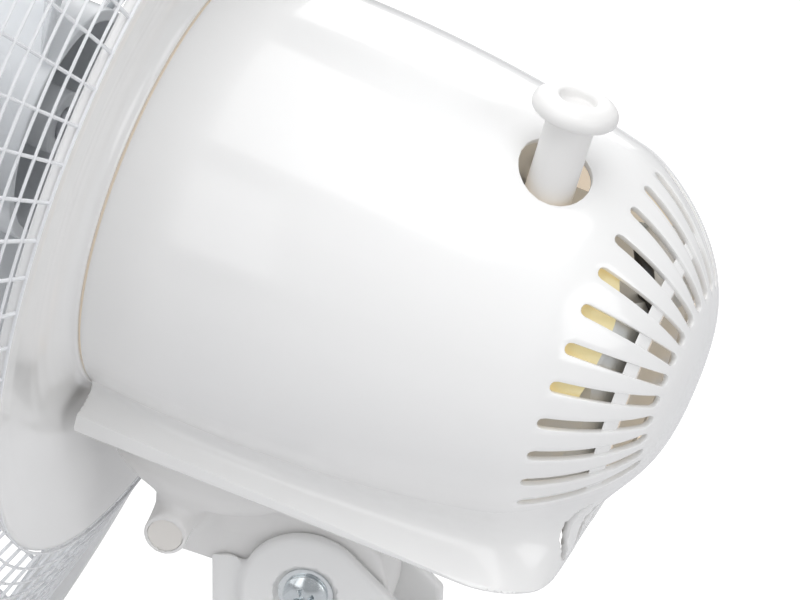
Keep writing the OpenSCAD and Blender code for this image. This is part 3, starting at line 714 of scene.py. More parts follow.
def face_outwards(obj, place, about=(0, 0, 0)):
    """Turns every face of an open skin away from a middle."""
    middle = place @ Vector(about)
    bm = bmesh.new()
    bm.from_mesh(obj.data)
    bmesh.ops.recalc_face_normals(bm, faces=bm.faces)
    score = sum(1 if f.normal.dot(f.calc_center_median() - middle) > 0 else -1 for f in bm.faces)
    if score < 0:
        bmesh.ops.reverse_faces(bm, faces=bm.faces)
    bm.to_mesh(obj.data)
    bm.free()
    return obj


def carve(obj, *cutters):
    """Cuts other bodies out of one and throws them away."""
    for cutter in cutters:
        bool_ = obj.modifiers.new("cut", "BOOLEAN")
        bool_.operation = "DIFFERENCE"
        bool_.solver = "EXACT"
        bool_.object = cutter
        settle(obj)
        bpy.data.objects.remove(cutter)
    return obj


def motor_housing():
    """One-piece housing: barrel, slotted dome, knob's hole and the skirt over the swing gear."""
    points, faces = outer_housing_skin()
    shell = new_object("motor_housing", points, faces, HEAD)
    tidy_mesh(shell, merge=2e-5, outward=False)
    drop_loose(shell)
    face_outwards(shell, HEAD, (0, -20, 0))
    shell.data.materials.append(WHITE_SHELL)
    # The shell's inner faces carry painted warm shade and a painted glow.
    shell.data.materials.append(SHELL_INSIDE_SHADE_GLOW)
    wall = shell.modifiers.new("wall", "SOLIDIFY")
    wall.thickness = SHELL_WALL * MM
    wall.offset = -1
    wall.material_offset = 1
    wall.material_offset_rim = 0
    settle(shell)
    ease_edges(shell, 0.35, 2, 50)
    skirt = moulded("skirt", skirt_wall, (-42, SEAM_Y - 1, -57), (42, 40, -16), SKIRT_CELL, HEAD)
    skirt.data.materials.append(WHITE_SHELL)
    ring_y = np.linspace(30.6, 33.4, 4)
    outer = [(barrel_radius(v) - 1.3, v) for v in ring_y]
    inner = [(barrel_radius(v) - 4.2, v) for v in ring_y[::-1]]
    rib = turned("slot_rib", eased_outline(outer + inner, 0.3, 2), HEAD, "y", 120)
    rib.data.materials.append(WHITE_SHELL)
    shell = join("motor_housing_body", shell, skirt, rib)
    smooth(shell, 38)
    return hand_over(shell, "head", "white_gloss", None, "rear_shell")


def front_flange():
    """Dished plate between the housing and the guard, with its neck plate inside."""
    seam = [(52.4, -98.6), (52.4, -93.5), (53.2, -88.75), (54.3, -88.55), (54.75, -88.95),
            (55.1, -90.2), (56.3, -91.4), (58.6, -92.1), (62, -92.35), (67, -91.9), (72, -91.0),
            (80, -89.2), (88, -87.4), (94, -86.3), (96, -86.0), (97, -86.3), (97.1, -87.6),
            (96.6, -88.7), (88, -90.3), (72, -93.6), (60, -95.4), (56, -96.4), (54.6, -98.6)]
    outline = eased_outline(seam, 1.1, 4)
    flange = smooth(turned("front_flange", outline, HEAD, "y", 192), 50)
    plate_in = eased_outline([(16, -97.2), (51.8, -97.2), (51.8, -98.9), (16, -98.9)], 0.4, 2)
    web = smooth(turned("flange_web", plate_in, HEAD, "y", 96), 40)
    spigot = eased_outline([(50.8, -98), (52.3, -98), (52.3, -85), (50.8, -85)], 0.4, 2)
    spigot = smooth(turned("seam_spigot", spigot, HEAD, "y", 192), 40)
    # The spigot behind the seam carries painted warm shadow and a painted glow.
    for piece, material in ((flange, WHITE_SHELL), (web, WHITE_SHELL), (spigot, SEAM_LIP_SHADE_GLOW)):
        piece.data.materials.append(material)
    both = join("front_flange_body", flange, web, spigot)
    return hand_over(both, "head", "white_gloss", None, "front_collar")


def taped_leads():
    """Yellow film tape over the motor's leads behind the slots, and a black sleeve beside it."""
    across, around = 15, 60
    points = []
    for j in range(around):
        angle = math.radians(2 + 52 * j / (around - 1))
        length = 18 + 4.5 * math.sin((j + 4) / (around + 4) * math.pi)
        for i in range(across):
            v = i / (across - 1)
            y = 3 + length * v + 0.5 * math.sin(9 * angle + 1)
            crease = 0.22 * math.sin(23 * angle + 5 * v) + 0.16 * math.sin(61 * angle - 9 * v)
            radius = min(40.6, float(barrel_radius(y)) - 3.6) + crease
            points.append((radius * math.cos(angle), y, radius * math.sin(angle)))
    tape = new_object("taped_leads", points, sheet_faces(across, around), HEAD)
    thicken(tape, 0.6 * MM)
    hand_over(smooth(tidy_mesh(tape), 50), "head", "tape", YELLOW_TAPE)
    points, sides, steps = [], 14, 40
    for j in range(steps):
        share = j / (steps - 1)
        angle = math.radians(49 + 25 * share)
        middle_y = 30.5 - 8.5 * share
        for i in range(sides):
            turn = 2 * math.pi * i / sides
            thick = 2.3 * math.sin(math.pi * min(1, max(0.001, share * 6)) / 2) \
                * math.sin(math.pi * min(1, (1 - share) * 6 + 0.02) / 2) + 0.05
            radius = min(38.6, float(barrel_radius(middle_y)) - 6.2) + thick * math.cos(turn)
            points.append((radius * math.cos(angle), middle_y + thick * math.sin(turn),
                           radius * math.sin(angle)))
    faces = [(j * sides + i, j * sides + (i + 1) % sides, (j + 1) * sides + (i + 1) % sides,
              (j + 1) * sides + i) for j in range(steps - 1) for i in range(sides)]
    faces += [tuple(range(sides)), tuple(range((steps - 1) * sides, steps * sides))]
    sleeve = smooth(tidy_mesh(new_object("lead_sleeve", points, faces, HEAD)), 50)
    return hand_over(sleeve, "head", "black_plastic", BLACK_PLASTIC)


# ------------------------------------------------------------------ pull knob

def pull_knob():
    """Swing knob: a stem with a dished cap that has a finger dimple."""
    cap = 59.6
    outline = [(3.04, 34), (5.56, 34), (5.56, cap - 1.4), (6.0, cap - 0.5), (8.2, cap - 0.15),
               (9.4, cap + 0.35), (9.9, cap + 1.3), (9.85, cap + 2.5), (9.2, cap + 3.6),
               (7.7, cap + 4.5), (5.8, cap + 4.8), (4.6, cap + 4.6), (4.3, cap + 4.1),
               (4.15, cap + 2.7), (3.4, cap + 2.5), (0, cap + 2.55), (0, 57), (3.04, 57)]
    eased = eased_outline(outline, [0.2, 0.5, 0.8, 0.8] + [0.9] * 7 + [0.5, 0.6, 0.5, 0, 0, 0, 0.2],
                          4)
    place = HEAD @ Matrix.Translation((KNOB_X, 0, 0))
    knob = smooth(turned("pull_knob", eased, place, "z", 72), 40)
    return hand_over(knob, "knob", "white_satin", WHITE_SATIN, "knob")


# ------------------------------------------------------------------ neck and stand

PEG_Y, PEG_Z, PEG_R = -36.1, 12.5, 5.4


def neck_distance(x, y, z):
    """Roughly the distance to the swivel neck: cup, tongue, lug and the pin's boss."""
    about = np.hypot(x, y - TURN_Y)
    bowl_z = 29.4
    curve = np.hypot(about / 28.5, np.minimum(z - bowl_z, 0) / 14) - 1
    bowl = np.maximum(curve * 15, z - 36.9)
    hollow = np.maximum(np.maximum(about - 26.2, 30.4 - z), z - 60)
    bowl = trim(bowl, -hollow, 0.7)
    post = slab_distance(about - 13, z, 28, 36.9, 0.6)
    lug = np.hypot(y, z) - 20.5
    web = outline_distance(y, z, [(-42, 18), (-38.5, 4), (-34, -1.2), (-18, -1.2), (0, -10),
                                  (14, 14), (2, 26)])
    tongue = slab_distance(meld(lug, web, 5), x, -9, 9, 1.0)
    peg = slab_distance(np.hypot(y - PEG_Y, z - PEG_Z) - PEG_R, x, 0, 25.8, 0.7)
    body = meld(meld(tongue, bowl, 4), peg, 7)
    body = np.minimum(body, post)
    sink = slab_distance(np.hypot(y - PEG_Y, z - PEG_Z) - 4.4, x, 24.6, 40, 0.3)
    body = trim(body, -sink, 0.4)
    side = np.maximum(np.maximum(9 - np.abs(x), z - 8.6), np.maximum(-23 - y, -24 - z))
    body = trim(body, -side, 0.6)
    pin = np.maximum(np.hypot(x, y - TURN_Y) - 6.0, 21 - z)
    body = np.maximum(body, -pin)
    return np.maximum(body, 3.08 - np.hypot(y, z))


def swivel_neck():
    """The moulded neck between the stand and the head."""
    neck = moulded("swivel_neck", neck_distance, (-30, -62, -22), (30, 22, 38.5), 0.72, NECK)
    smooth(neck, 45)
    return hand_over(neck, "neck", "white_satin", WHITE_SATIN, "neck")


EAR_OUT, EAR_IN, EAR_R = 13.0, 9.3, 16.8
UPRIGHT_Y = 3
BASE_R, BASE_H = 118.0, 34.0


def upright_distance(x, y, z):
    """Roughly the distance to the upright with its foot, its two ears and their seats."""
    across, along = np.abs(x) - 8, np.abs(y - UPRIGHT_Y) - 17
    section = corner_distance(across, along, 12)
    height = z - (BASE_H + 0.15)
    flare = 5.0 * np.exp(-np.maximum(height, 0) / 9.0)
    post = slab_distance(section - flare + 0.2, z, BASE_H + 0.15, TILT_Z - 24, 1.6)
    rise = z - TILT_Z
    boss = np.hypot(y, rise) - EAR_R
    cheek = outline_distance(y, rise, [(-16.8, 0), (-16.8, -4), (-24.5, -20), (-24.5, -42),
                                       (31, -42), (31, -7.24), (11.88, 11.88), (0, 10)])
    ear = slab_distance(np.minimum(boss, cheek), np.abs(x), EAR_IN, EAR_OUT, 1.5)
    web = outline_distance(y, rise, [(-24.5, 7), (-20, 8), (0, 0), (0, -30), (-24.5, -30)])
    web = slab_distance(web, np.abs(x), EAR_IN, EAR_OUT - 2.4, 0.8)
    body = meld(meld(post, ear, 4), web, 2.5)
    gap = np.maximum(np.abs(x) - EAR_IN, TILT_Z - 23.6 - z)
    body = trim(body, -gap, 0.5)
    seat = slab_distance(np.hypot(y, rise) - 8.2, np.abs(x), EAR_OUT - 1.8, 40, 0.3)
    body = trim(body, -seat, 0.7)
    body = np.maximum(body, 3.04 - np.hypot(y, rise))
    hollow = slab_distance(corner_distance(across, along, 9), z, BASE_H + 3, TILT_Z - 28, 2)
    return np.maximum(body, -hollow)


def upright():
    """The upright with its two ears, and the tube that stands in the base."""
    post = moulded("upright", upright_distance, (-28, -36, 33), (28, 42, TILT_Z + 18), 1.0, STAND)
    tube = turned("socket_tube", [(9.2, 5), (12, 5), (12, 36), (9.2, 36)],
                  STAND @ Matrix.Translation((0, UPRIGHT_Y, 0)), "z", 64)
    both = join("upright_body", smooth(post, 45), smooth(tube, 40))
    return hand_over(both, "stand", "stand_plastic", WHITE_STAND, "column")


def tilt_screw():
    """Pan-head screw with a worn cross recess."""
    def distance(x, y, z):
        """Roughly the distance to the domed head with its cross recess."""
        rise = z - TILT_Z
        about = np.hypot(y, rise)
        dome = np.maximum(about - 5.6, np.hypot(about, x - (EAR_OUT - 8.4)) - 10.1)
        head = trim(dome, EAR_OUT - 1.0 - x, 0.2)
        turn = math.radians(20)
        u, v = y * math.cos(turn) + rise * math.sin(turn), rise * math.cos(turn) - y * math.sin(turn)
        deep = EAR_OUT + 1.75 - x
        arm = 0.62 + 0.25 * np.exp(-about ** 2 / 1.2) - 0.1 * deep
        reach = 3.1 - 0.75 * deep
        cross = np.minimum(np.maximum(np.abs(u) - arm, np.abs(v) - reach),
                           np.maximum(np.abs(v) - arm, np.abs(u) - reach))
        cross = np.maximum(cross, EAR_OUT + 0.1 - x)
        return trim(head, -cross, 0.25)

    head = moulded("tilt_screw", distance, (EAR_OUT - 1.6, -6.4, TILT_Z - 6.4),
                   (EAR_OUT + 2.3, 6.4, TILT_Z + 6.4), 0.16, STAND)
    shank = turned("shank", [(0, -EAR_OUT + 0.5), (2.6, -EAR_OUT + 0.5), (3, -EAR_OUT + 1),
                             (3, EAR_OUT - 0.9), (0, EAR_OUT - 0.9)],
                   STAND @ Matrix.Translation((0, 0, TILT_Z)) @ Matrix.Rotation(
                       math.pi / 2, 4, "Y"), "z", 32, closed=False)
    both = join("tilt_screw_body", smooth(head, 40), smooth(shank, 40))
    return hand_over(both, "stand", "zinc", ZINC, "tilt_screw")


# ------------------------------------------------------------------ repeated parts by rule

def rule_tree(name, inputs):
    """An empty geometry tree with named inputs, which gives out one mesh."""
    tree = bpy.data.node_groups.new(name, "GeometryNodeTree")
    group_socket(tree, "Geometry", "OUTPUT", "NodeSocketGeometry")
    for label, kind, value in inputs:
        group_socket(tree, label, "INPUT", kind, value)
    ends = group_ends(tree)
    return tree, ends[0].outputs, ends[1]


def sum_of(tree, kind, one, two):
    """One arithmetic step between two sockets or numbers."""
    return node_of(tree, "ShaderNodeMath", {0: one, 1: two}, operation=kind).outputs[0]


def bowl_height(tree, given, radius):
    """Height of a guard's bowl at a radius: start + fall * (radius / reach) ** swell."""
    share = sum_of(tree, "DIVIDE", radius, given["Reach"])
    bent = sum_of(tree, "POWER", share, given["Swell"])
    return sum_of(tree, "ADD", sum_of(tree, "MULTIPLY", bent, given["Fall"]), given["Start"])


def wire_guard_tree():
    """Spokes and rings of round wire laid on a bowl about the Y axis."""
    number, whole = "NodeSocketFloat", "NodeSocketInt"
    tree, given, out = rule_tree("wire_guard", [
        ("Inner Radius", number, 100.0), ("Outer Radius", number, 186.0), ("Start", number, 0.0),
        ("Fall", number, 0.0), ("Reach", number, 186.0), ("Swell", number, 1.0),
        ("Spokes", whole, 72), ("Rings", whole, 20), ("Spoke Wire", number, 0.45),
        ("Ring Wire", number, 0.35), ("Ring Lift", number, 0.7), ("First Turn", number, 0.0),
        ("Material", "NodeSocketMaterial", None)])
    index = node_of(tree, "GeometryNodeInputIndex").outputs[0]
    span = sum_of(tree, "SUBTRACT", given["Outer Radius"], given["Inner Radius"])

    # one spoke, bent to the bowl, then taken round the axis
    steps = 22
    line = node_of(tree, "GeometryNodeMeshLine", {"Count": steps}, mode="OFFSET")
    along = sum_of(tree, "DIVIDE", index, float(steps - 1))
    radius = sum_of(tree, "ADD", given["Inner Radius"], sum_of(tree, "MULTIPLY", along, span))
    spot = node_of(tree, "ShaderNodeCombineXYZ", {"X": radius,
                                                  "Y": bowl_height(tree, given, radius)})
    bent = node_of(tree, "GeometryNodeSetPosition", {"Geometry": line.outputs[0],
                                                     "Position": spot.outputs[0]})
    path = node_of(tree, "GeometryNodeMeshToCurve", {0: bent.outputs[0]})
    ring_of_wire = node_of(tree, "GeometryNodeCurvePrimitiveCircle", {
        "Resolution": 6, "Radius": given["Spoke Wire"]})
    spoke = node_of(tree, "GeometryNodeCurveToMesh", {
        "Curve": path.outputs[0], "Profile Curve": ring_of_wire.outputs[0], "Fill Caps": True})
    posts = node_of(tree, "GeometryNodePoints", {"Count": given["Spokes"]})
    turn = sum_of(tree, "DIVIDE", sum_of(tree, "MULTIPLY", index, 2 * math.pi), given["Spokes"])
    turn = sum_of(tree, "ADD", turn, given["First Turn"])
    turns = node_of(tree, "ShaderNodeCombineXYZ", {"Y": turn})
    spokes = node_of(tree, "GeometryNodeInstanceOnPoints", {
        "Points": posts.outputs[0], "Instance": spoke.outputs[0], "Rotation": turns.outputs[0]})

    # rings at even steps, lying on the spokes' outer side
    places = node_of(tree, "GeometryNodePoints", {"Count": given["Rings"]})
    gaps = sum_of(tree, "SUBTRACT", given["Rings"], 1.0)
    ring_radius = sum_of(tree, "ADD", given["Inner Radius"], sum_of(
        tree, "MULTIPLY", sum_of(tree, "DIVIDE", index, gaps), span))
    height = sum_of(tree, "ADD", bowl_height(tree, given, ring_radius), given["Ring Lift"])
    centres = node_of(tree, "GeometryNodeSetPosition", {
        "Geometry": places.outputs[0],
        "Position": node_of(tree, "ShaderNodeCombineXYZ", {"Y": height}).outputs[0]})
    hoop = node_of(tree, "GeometryNodeCurvePrimitiveCircle", {"Resolution": 144, "Radius": 1.0})
    hoops = node_of(tree, "GeometryNodeInstanceOnPoints", {
        "Points": centres.outputs[0], "Instance": hoop.outputs[0],
        "Rotation": (math.pi / 2, 0.0, 0.0),
        "Scale": node_of(tree, "ShaderNodeCombineXYZ", {
            "X": ring_radius, "Y": ring_radius, "Z": ring_radius}).outputs[0]})
    loose = node_of(tree, "GeometryNodeRealizeInstances", {0: hoops.outputs[0]})
    section = node_of(tree, "GeometryNodeCurvePrimitiveCircle", {
        "Resolution": 6, "Radius": given["Ring Wire"]})
    rings = node_of(tree, "GeometryNodeCurveToMesh", {
        "Curve": loose.outputs[0], "Profile Curve": section.outputs[0]})

    both = node_of(tree, "GeometryNodeJoinGeometry", {0: spokes.outputs[0]})
    tree.links.new(rings.outputs[0], both.inputs[0])
    real = node_of(tree, "GeometryNodeRealizeInstances", {0: both.outputs[0]})
    painted = node_of(tree, "GeometryNodeSetMaterial", {
        "Geometry": real.outputs[0], "Material": given["Material"]})
    tree.links.new(painted.outputs[0], out.inputs[0])
    return tree


def ring_tree():
    """Copies of one part set evenly round the Y axis."""
    tree, given, out = rule_tree("round_the_axis", [
        ("Part", "NodeSocketObject", None), ("Count", "NodeSocketInt", 5),
        ("First Turn", "NodeSocketFloat", 0.0), ("Material", "NodeSocketMaterial", None)])
    part = node_of(tree, "GeometryNodeObjectInfo", {"Object": given["Part"]})
    posts = node_of(tree, "GeometryNodePoints", {"Count": given["Count"]})
    index = node_of(tree, "GeometryNodeInputIndex").outputs[0]
    turn = sum_of(tree, "DIVIDE", sum_of(tree, "MULTIPLY", index, 2 * math.pi), given["Count"])
    turns = node_of(tree, "ShaderNodeCombineXYZ", {
        "Y": sum_of(tree, "ADD", turn, given["First Turn"])})
    copies = node_of(tree, "GeometryNodeInstanceOnPoints", {
        "Points": posts.outputs[0], "Instance": part.outputs["Geometry"],
        "Rotation": turns.outputs[0]})
    real = node_of(tree, "GeometryNodeRealizeInstances", {0: copies.outputs[0]})
    painted = node_of(tree, "GeometryNodeSetMaterial", {
        "Geometry": real.outputs[0], "Material": given["Material"]})
    tree.links.new(painted.outputs[0], out.inputs[0])
    return tree


WIRE_GUARD, ROUND_THE_AXIS = wire_guard_tree(), ring_tree()


def by_rule(name, tree, place, values):
    """The plain mesh that a tree gives for these named inputs, put in its place."""
    obj = new_object(name, [], [], Matrix.Identity(4))
    modifier = obj.modifiers.new(name, "NODES")
    modifier.node_group = tree
    for item in tree.interface.items_tree:
        if item.in_out == "INPUT" and item.name in values:
            modifier[item.identifier] = values[item.name]
    settle(obj)
    obj.data.transform(place)
    return tidy_mesh(obj)


def round_the_axis(name, part, count, first_turn, material, place=HEAD):
    """Sets copies of a part, made in millimetres, evenly round the motor axis."""
    made = by_rule(name, ROUND_THE_AXIS, place, {
        "Part": part, "Count": count, "First Turn": first_turn, "Material": material})
    bpy.data.objects.remove(part)
    return made


# ------------------------------------------------------------------ guard

SPOKES, GUARD_TURN, WIRE_END_R = 72, 0.03, 186.2


def guards():
    """Both wire guards, the band that joins them, its clips and the plain centre disc."""
    rear = by_rule("rear_wire_guard", WIRE_GUARD, HEAD, {
        "Inner Radius": 97.4, "Outer Radius": WIRE_END_R, "Start": -51.08, "Fall": -66.96,
        "Reach": 186.0, "Swell": 1.0, "Spokes": SPOKES, "Rings": 20, "Spoke Wire": 0.45,
        "Ring Wire": 0.36, "Ring Lift": 0.35, "First Turn": GUARD_TURN, "Material": WIRE_COAT})
    hand_over(smooth(rear, 60), "head", "wire_paint", WIRE_COAT, "rear_guard")
    front = by_rule("front_wire_guard", WIRE_GUARD, HEAD, {
        "Inner Radius": 45.0, "Outer Radius": WIRE_END_R, "Start": -191.9, "Fall": 65.6,
        "Reach": 187.0, "Swell": 3.7, "Spokes": SPOKES, "Rings": 16, "Spoke Wire": 0.6,
        "Ring Wire": 0.45, "Ring Lift": 0.7, "First Turn": GUARD_TURN, "Material": WIRE_COAT})
    hand_over(smooth(front, 60), "head", "wire_paint", WIRE_COAT, "front_guard")
    band = eased_outline([(188.25, -114.2), (190.1, -114.2), (190.1, -119), (189.6, -120.6),
                          (190.1, -122.2), (190.1, -127.8), (188.25, -127.8)], 0.5, 3)
    rim = smooth(turned("guard_band", band, HEAD, "y", 180), 40)
    hand_over(rim, "head", "white_satin", BAND_COAT, "guard_rim")
    clip = plate("clip", eased_outline([(-6.6, -127.6), (6.6, -127.6), (7, -121), (6.6, -114.4),
                                        (-6.6, -114.4), (-7, -121)], 1.5, 3),
                 190.3, 192.7, Matrix.Identity(4))
    clips = round_the_axis("guard_clips", clip, 4, math.pi / 4, BAND_COAT)
    ease_edges(clips, 0.4, 2, 40)
    hand_over(smooth(clips, 40), "head", "white_satin", BAND_COAT, "guard_clips")
    disc = eased_outline([(0, -192.7), (45.6, -192.7), (46, -193.6), (45.2, -194.9), (42, -195.8),
                          (33.5, -196), (32.8, -195.4), (31, -195.4), (30.3, -196), (0, -196)],
                         [0, .3, .6, .8, .8, .3, .3, .3, .3, 0], 3)
    badge = smooth(turned("centre_disc", disc, HEAD, "y", 96, closed=False), 40)
    hand_over(badge, "head", "badge_silver", DISC_SILVER, "badge")


# ------------------------------------------------------------------ blade

HUB_R = 30.0


def blade_and_nut():
    """Five twisted petals on a hub, and the spinner nut that holds them on the shaft."""
    across, along = 17, 30
    points = []
    for j in range(along):
        v = j / (along - 1)
        radius = 28 + 138 * v
        swell = min(1, v / 0.36)
        half = (24 + 14 * swell * swell * (3 - 2 * swell)) * max(
            0.02, 1 - max(0, (v - 0.72) / 0.28) ** 2.2) ** 0.5
        pitch = math.radians(27 - 5 * v)
        for i in range(across):
            u = 2 * i / (across - 1) - 1
            chord = u * half
            sweep = 6 * v * v
            points.append((chord * math.cos(pitch) + sweep,
                           -133 + chord * math.sin(pitch) + 2.2 * (u * u - 0.4) * swell,
                           math.sqrt(max(radius ** 2 - (chord * 0.9) ** 2 * (1 - v) * 0.4, 0))))
    petal = new_object("petal", points, sheet_faces(across, along), Matrix.Identity(4))
    thicken(petal, 1.7)
    edge = petal.modifiers.new("edge", "BEVEL")
    edge.width = 0.5
    edge.segments = 2
    edge.limit_method = "ANGLE"
    edge.angle_limit = math.radians(50)
    settle(petal)
    petals = round_the_axis("petals", petal, 5, 0.0, WHITE_BLADE)
    hub = eased_outline([(4.04, -146), (28.5, -146), (HUB_R, -144.2), (HUB_R, -120.2), (27, -120.2),
                         (27, -143), (8, -143), (8, -122), (4.04, -122)], 0.6, 3)
    hub = turned("hub", hub, HEAD, "y", 96)
    blade = join("fan_blade", smooth(petals, 40), smooth(hub, 40))
    hand_over(blade, "rotor", "blade_plastic", WHITE_BLADE, "blade")
    nut = eased_outline([(4.04, -146.1), (16, -146.1), (16, -153.2), (15, -154), (12, -154.3),
                         (11.6, -161.9), (10, -163.5), (0, -163.5), (0, -161.2), (4.04, -161.2)],
                        [0.2, 0.5, 0.8, 0.8, 0.8, 0.8, 1.2, 0, 0, 0.2], 3)
    nut = smooth(turned("nut", nut, HEAD, "y", 72), 40)
    grip = plate("grip", eased_outline([(-1.1, -162), (1.1, -162), (1.1, -154.2), (-1.1, -154.2)],
                                       0.5, 3), 11, 13.2, Matrix.Identity(4))
    grips = smooth(round_the_axis("grips", grip, 8, 0.0, WHITE_BLADE), 40)
    both = join("spinner_nut", nut, grips)
    hand_over(both, "rotor", "blade_plastic", WHITE_BLADE, "blade_nut")


# ------------------------------------------------------------------ base and its keys

PANEL_Y = -84.0
KEY_PITCH = 22.0


def base_cover():
    """Domed base cover with openings for the keys' panel, the upright's tube and the lead."""
    outline = [(0, BASE_H), (62, BASE_H), (90, 30), (108, 21), (117, 12), (BASE_R, 9), (BASE_R, 5),
               (115.5, 5), (115.5, 9), (106, 18.5), (89, 27.4), (61, 31.4), (0, 31.4)]
    eased = eased_outline(outline, [0, 26, 22, 12, 5, 1, .5, .5, 2, 9, 18, 22, 0], 6)
    cover = turned("base_cover", eased, STAND, "z", 160, closed=False)
    cutters = [plate("panel_opening", round_box(100.4, 36.4, 6.2, (0, PANEL_Y)), 13.4, 50, STAND),
               turned("tube_opening", [(0, 20), (12.2, 20), (12.2, 50), (0, 50)],
                      STAND @ Matrix.Translation((0, UPRIGHT_Y, 0)), "z", 64, closed=False),
               turned("lead_outlet", [(0, 100), (4, 100), (4, 124), (0, 124)],
                      STAND @ Matrix.Translation((0, 0, 10.5)), "y", 32, closed=False)]
    carve(cover, *cutters)
    smooth(cover, 38)
    hand_over(cover, "stand", "stand_plastic", WHITE_STAND, "base_shell")


def control_panel():
    """The panel round the four keys, hollow underneath."""
    panel = plate("key_panel", round_box(100, 36, 6, (0, PANEL_Y), 8), 14, 40, STAND)
    ease_edges(panel, 1.2, 4, 60)
    cutters = [plate("panel_room", round_box(96, 32, 4, (0, PANEL_Y)), 12, 37.6, STAND)]
    for i in range(4):
        middle = ((i - 1.5) * KEY_PITCH, PANEL_Y)
        cutters.append(plate("key_opening", round_box(17, 21, 2.5, middle), 30, 50, STAND))
    carve(panel, *cutters)
    smooth(panel, 38)
    hand_over(panel, "stand", "white_satin", WHITE_SATIN, "control_panel")


def key(i, node, material, slot):
    """A push key with its flange and stem, and a printed numeral."""
    middle = ((i - 1.5) * KEY_PITCH, PANEL_Y)
    cap = plate("cap", round_box(16.2, 20.2, 2.2, middle, 6), 33, 44.85, STAND)
    ease_edges(cap, 0.9, 4, 60)
    flange = plate("flange", round_box(19, 23, 2, middle), 31.4, 33.4, STAND)
    stem = plate("stem", round_box(6, 8, 1, middle), 24.5, 32.5, STAND)
    body = smooth(join("key", cap, flange, stem), 38)
    body.data.materials.clear()
    body.data.materials.append(material)
    writing = bpy.data.curves.new("numeral", "FONT")
    writing.body = str(i)
    writing.size = 10
    writing.align_x, writing.align_y = "CENTER", "CENTER"
    writing.extrude = 0.06
    shape = bpy.data.objects.new("numeral", writing)
    bpy.context.scene.collection.objects.link(shape)
    bpy.context.view_layer.update()
    numeral = bpy.data.objects.new("numeral_mesh", bpy.data.meshes.new_from_object(
        shape.evaluated_get(bpy.context.evaluated_depsgraph_get())))
    bpy.context.scene.collection.objects.link(numeral)
    bpy.data.objects.remove(shape)
    numeral.data.transform(STAND @ Matrix.Translation((middle[0], middle[1], 44.88)))
    numeral.data.materials.clear()
    numeral.data.materials.append(PRINT_INK)
    both = join(node + "_key", body, numeral)
    hand_over(both, node, slot, None, node)


# ------------------------------------------------------------------ windings and carried parts

def wound_coil(name, low, high, node):
    """End turns of the winding: strands laid round a ring."""
    half = (high - low) / 2
    angle = np.linspace(0, 2 * math.pi, 168, endpoint=False)
    section = half - 0.42 * np.abs(np.cos(14 * angle))
    outline = np.stack((29 + section * np.cos(angle), (low + high) / 2 + section * np.sin(angle)), -1)
    coil = smooth(turned(name, outline, HEAD, "y", 72), 60)
    hand_over(coil, "head", "copper", COPPER, node)


def finish_nodes(material, *nodes):
    """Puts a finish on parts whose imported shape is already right."""
    for node in nodes:
        for slot in bpy.data.objects[node].material_slots:
            slot.material = material


def carried_parts():
    """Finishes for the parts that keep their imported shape."""
    finish_nodes(ZINC, "base_screws", "tilt_washer", "tilt_nut", "shell_screws", "lid_screws",
                 "motor_bolts")
    finish_nodes(STEEL, "column_nut", "pivot_pin", "link_rod", "link_rivet", "link_pin",
                 "clutch_shaft", "crank_arm", "motor_shaft")
    finish_nodes(CAST_ALLOY, "front_bracket", "rear_bracket", "gearbox_case", "gearbox_lid")
    finish_nodes(LAMINATION, "stator_core", "rotor_core")
    finish_nodes(BRONZE, "front_bush", "rear_bush")
    finish_nodes(NYLON, "worm_wheel", "crank_gear")
    finish_nodes(BLACK_PLASTIC, "switch_block", "capacitor", "pivot_ring")
    finish_nodes(YELLOW_TAPE, "winding_tape")
    finish_nodes(RUBBER, "rubber_feet", "hole_bung")
    finish_nodes(DARK_PLATE, "base_plate")
    finish_nodes(IRON, "ballast")
    finish_nodes(PEG_FACE, "peg_plug")
    finish_nodes(WHITE_BLADE, "guard_nuts")


# ------------------------------------------------------------------ studio

def studio_material(name, seen, bounced):
    """Pure white to the camera, plain pale paint to everything else."""
    material = bpy.data.materials.new(name)
    material.use_nodes = True
    tree = material.node_tree
    tree.nodes.clear()
    path = node_of(tree, "ShaderNodeLightPath")
    place = node_of(tree, "ShaderNodeTexCoord").outputs["Object"]
    speck = node_of(tree, "ShaderNodeTexNoise", {"Vector": place, "Scale": 60.0})
    tone = node_of(tree, "ShaderNodeMix", {0: speck.outputs["Fac"], 6: tuple(
        c * 0.98 for c in bounced) + (1,), 7: tuple(bounced) + (1,)}, data_type="RGBA")
    paint = node_of(tree, "ShaderNodeBsdfDiffuse", {"Color": tone.outputs[2]})
    shine = node_of(tree, "ShaderNodeEmission", {"Color": (1, 1, 1, 1), "Strength": seen})
    mixed = node_of(tree, "ShaderNodeMixShader", {0: path.outputs["Is Camera Ray"],
                                                  1: paint.outputs[0], 2: shine.outputs[0]})
    out = node_of(tree, "ShaderNodeOutputMaterial")
    tree.links.new(mixed.outputs[0], out.inputs["Surface"])
    return material


def aim(obj, at, target):
    """Stands a lamp at a point and turns it to a target."""
    obj.location = at
    obj.rotation_euler = (Vector(target) - Vector(at)).to_track_quat("-Z", "Y").to_euler()


def soft_light(name, at, target, width, height, power):
    """A soft rectangular lamp aimed at a target."""
    lamp = bpy.data.lights.new(name, "AREA")
    lamp.shape = "RECTANGLE"
    lamp.size, lamp.size_y = width, height
    lamp.energy = power
    obj = bpy.data.objects.new(name, lamp)
    bpy.context.scene.collection.objects.link(obj)
    aim(obj, at, target)


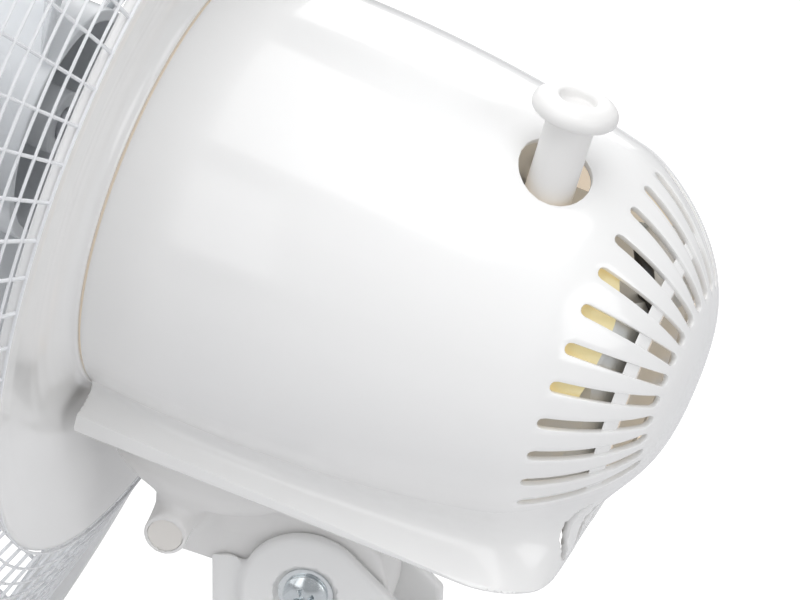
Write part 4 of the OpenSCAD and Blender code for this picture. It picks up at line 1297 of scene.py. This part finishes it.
def studio():
    """White floor and surround, with four soft lamps."""
    half = 4e3
    corners = [(-half, -half, 0), (half, -half, 0), (half, half, 0), (-half, half, 0)]
    floor = new_object("studio_floor", corners, [(0, 1, 2, 3)], STAND)
    floor.data.materials.append(studio_material("studio_white", 1.3, (0.62, 0.62, 0.63)))
    world = bpy.data.worlds.new("studio_world")
    bpy.context.scene.world = world
    world.use_nodes = True
    tree = world.node_tree
    tree.nodes.clear()
    path = node_of(tree, "ShaderNodeLightPath")
    around = node_of(tree, "ShaderNodeBackground", {"Color": (0.97, 0.98, 1.0, 1), "Strength": 0.46})
    behind = node_of(tree, "ShaderNodeBackground", {"Color": (1, 1, 1, 1), "Strength": 1.3})
    mixed = node_of(tree, "ShaderNodeMixShader", {0: path.outputs["Is Camera Ray"],
                                                  1: around.outputs[0], 2: behind.outputs[0]})
    out = node_of(tree, "ShaderNodeOutputWorld")
    tree.links.new(mixed.outputs[0], out.inputs["Surface"])
    soft_light("overhead_box", (0.25, -0.1, 1.7), (0.02, 0.03, 0.3), 1.9, 1.5, 17.5)
    soft_light("front_box", (1.3, -0.9, 0.9), (0.02, 0.03, 0.3), 1.2, 1.2, 6)
    soft_light("rear_box", (0.9, 1.4, 0.7), (0.02, 0.03, 0.3), 1.0, 1.0, 7)
    soft_light("far_box", (-1.5, -0.2, 1.1), (0.02, 0.0, 0.35), 1.3, 1.3, 12)
    bpy.context.scene.view_settings.view_transform = "Standard"


def camera():
    """The view from behind and to one side."""
    lens = bpy.data.cameras.new("camera")
    lens.lens = 131.69
    lens.sensor_width = 36
    obj = bpy.data.objects.new("camera", lens)
    bpy.context.scene.collection.objects.link(obj)
    right, up = Vector((-0.19078, 0.98133, 0.02437)), Vector((-0.4342, -0.10662, 0.89448))
    back = right.cross(up).normalized()
    up = back.cross(right).normalized()
    matrix = Matrix((right.normalized(), up, back)).transposed().to_4x4()
    matrix.translation = (0.61719, 0.13195, 0.60642)
    obj.matrix_world = matrix
    bpy.context.scene.camera = obj


motor_housing()
front_flange()
taped_leads()
pull_knob()
swivel_neck()
upright()
tilt_screw()
guards()
blade_and_nut()
base_cover()
control_panel()
key(0, "button_off", KEY_RED, "button_red")
for number in (1, 2, 3):
    key(number, "button_%d" % number, KEY_GREY, "button_grey")
wound_coil("front_winding", -74.5, -62, "winding_front")
wound_coil("rear_winding", -34.9, -22.4, "winding_rear")
carried_parts()
studio()
camera()
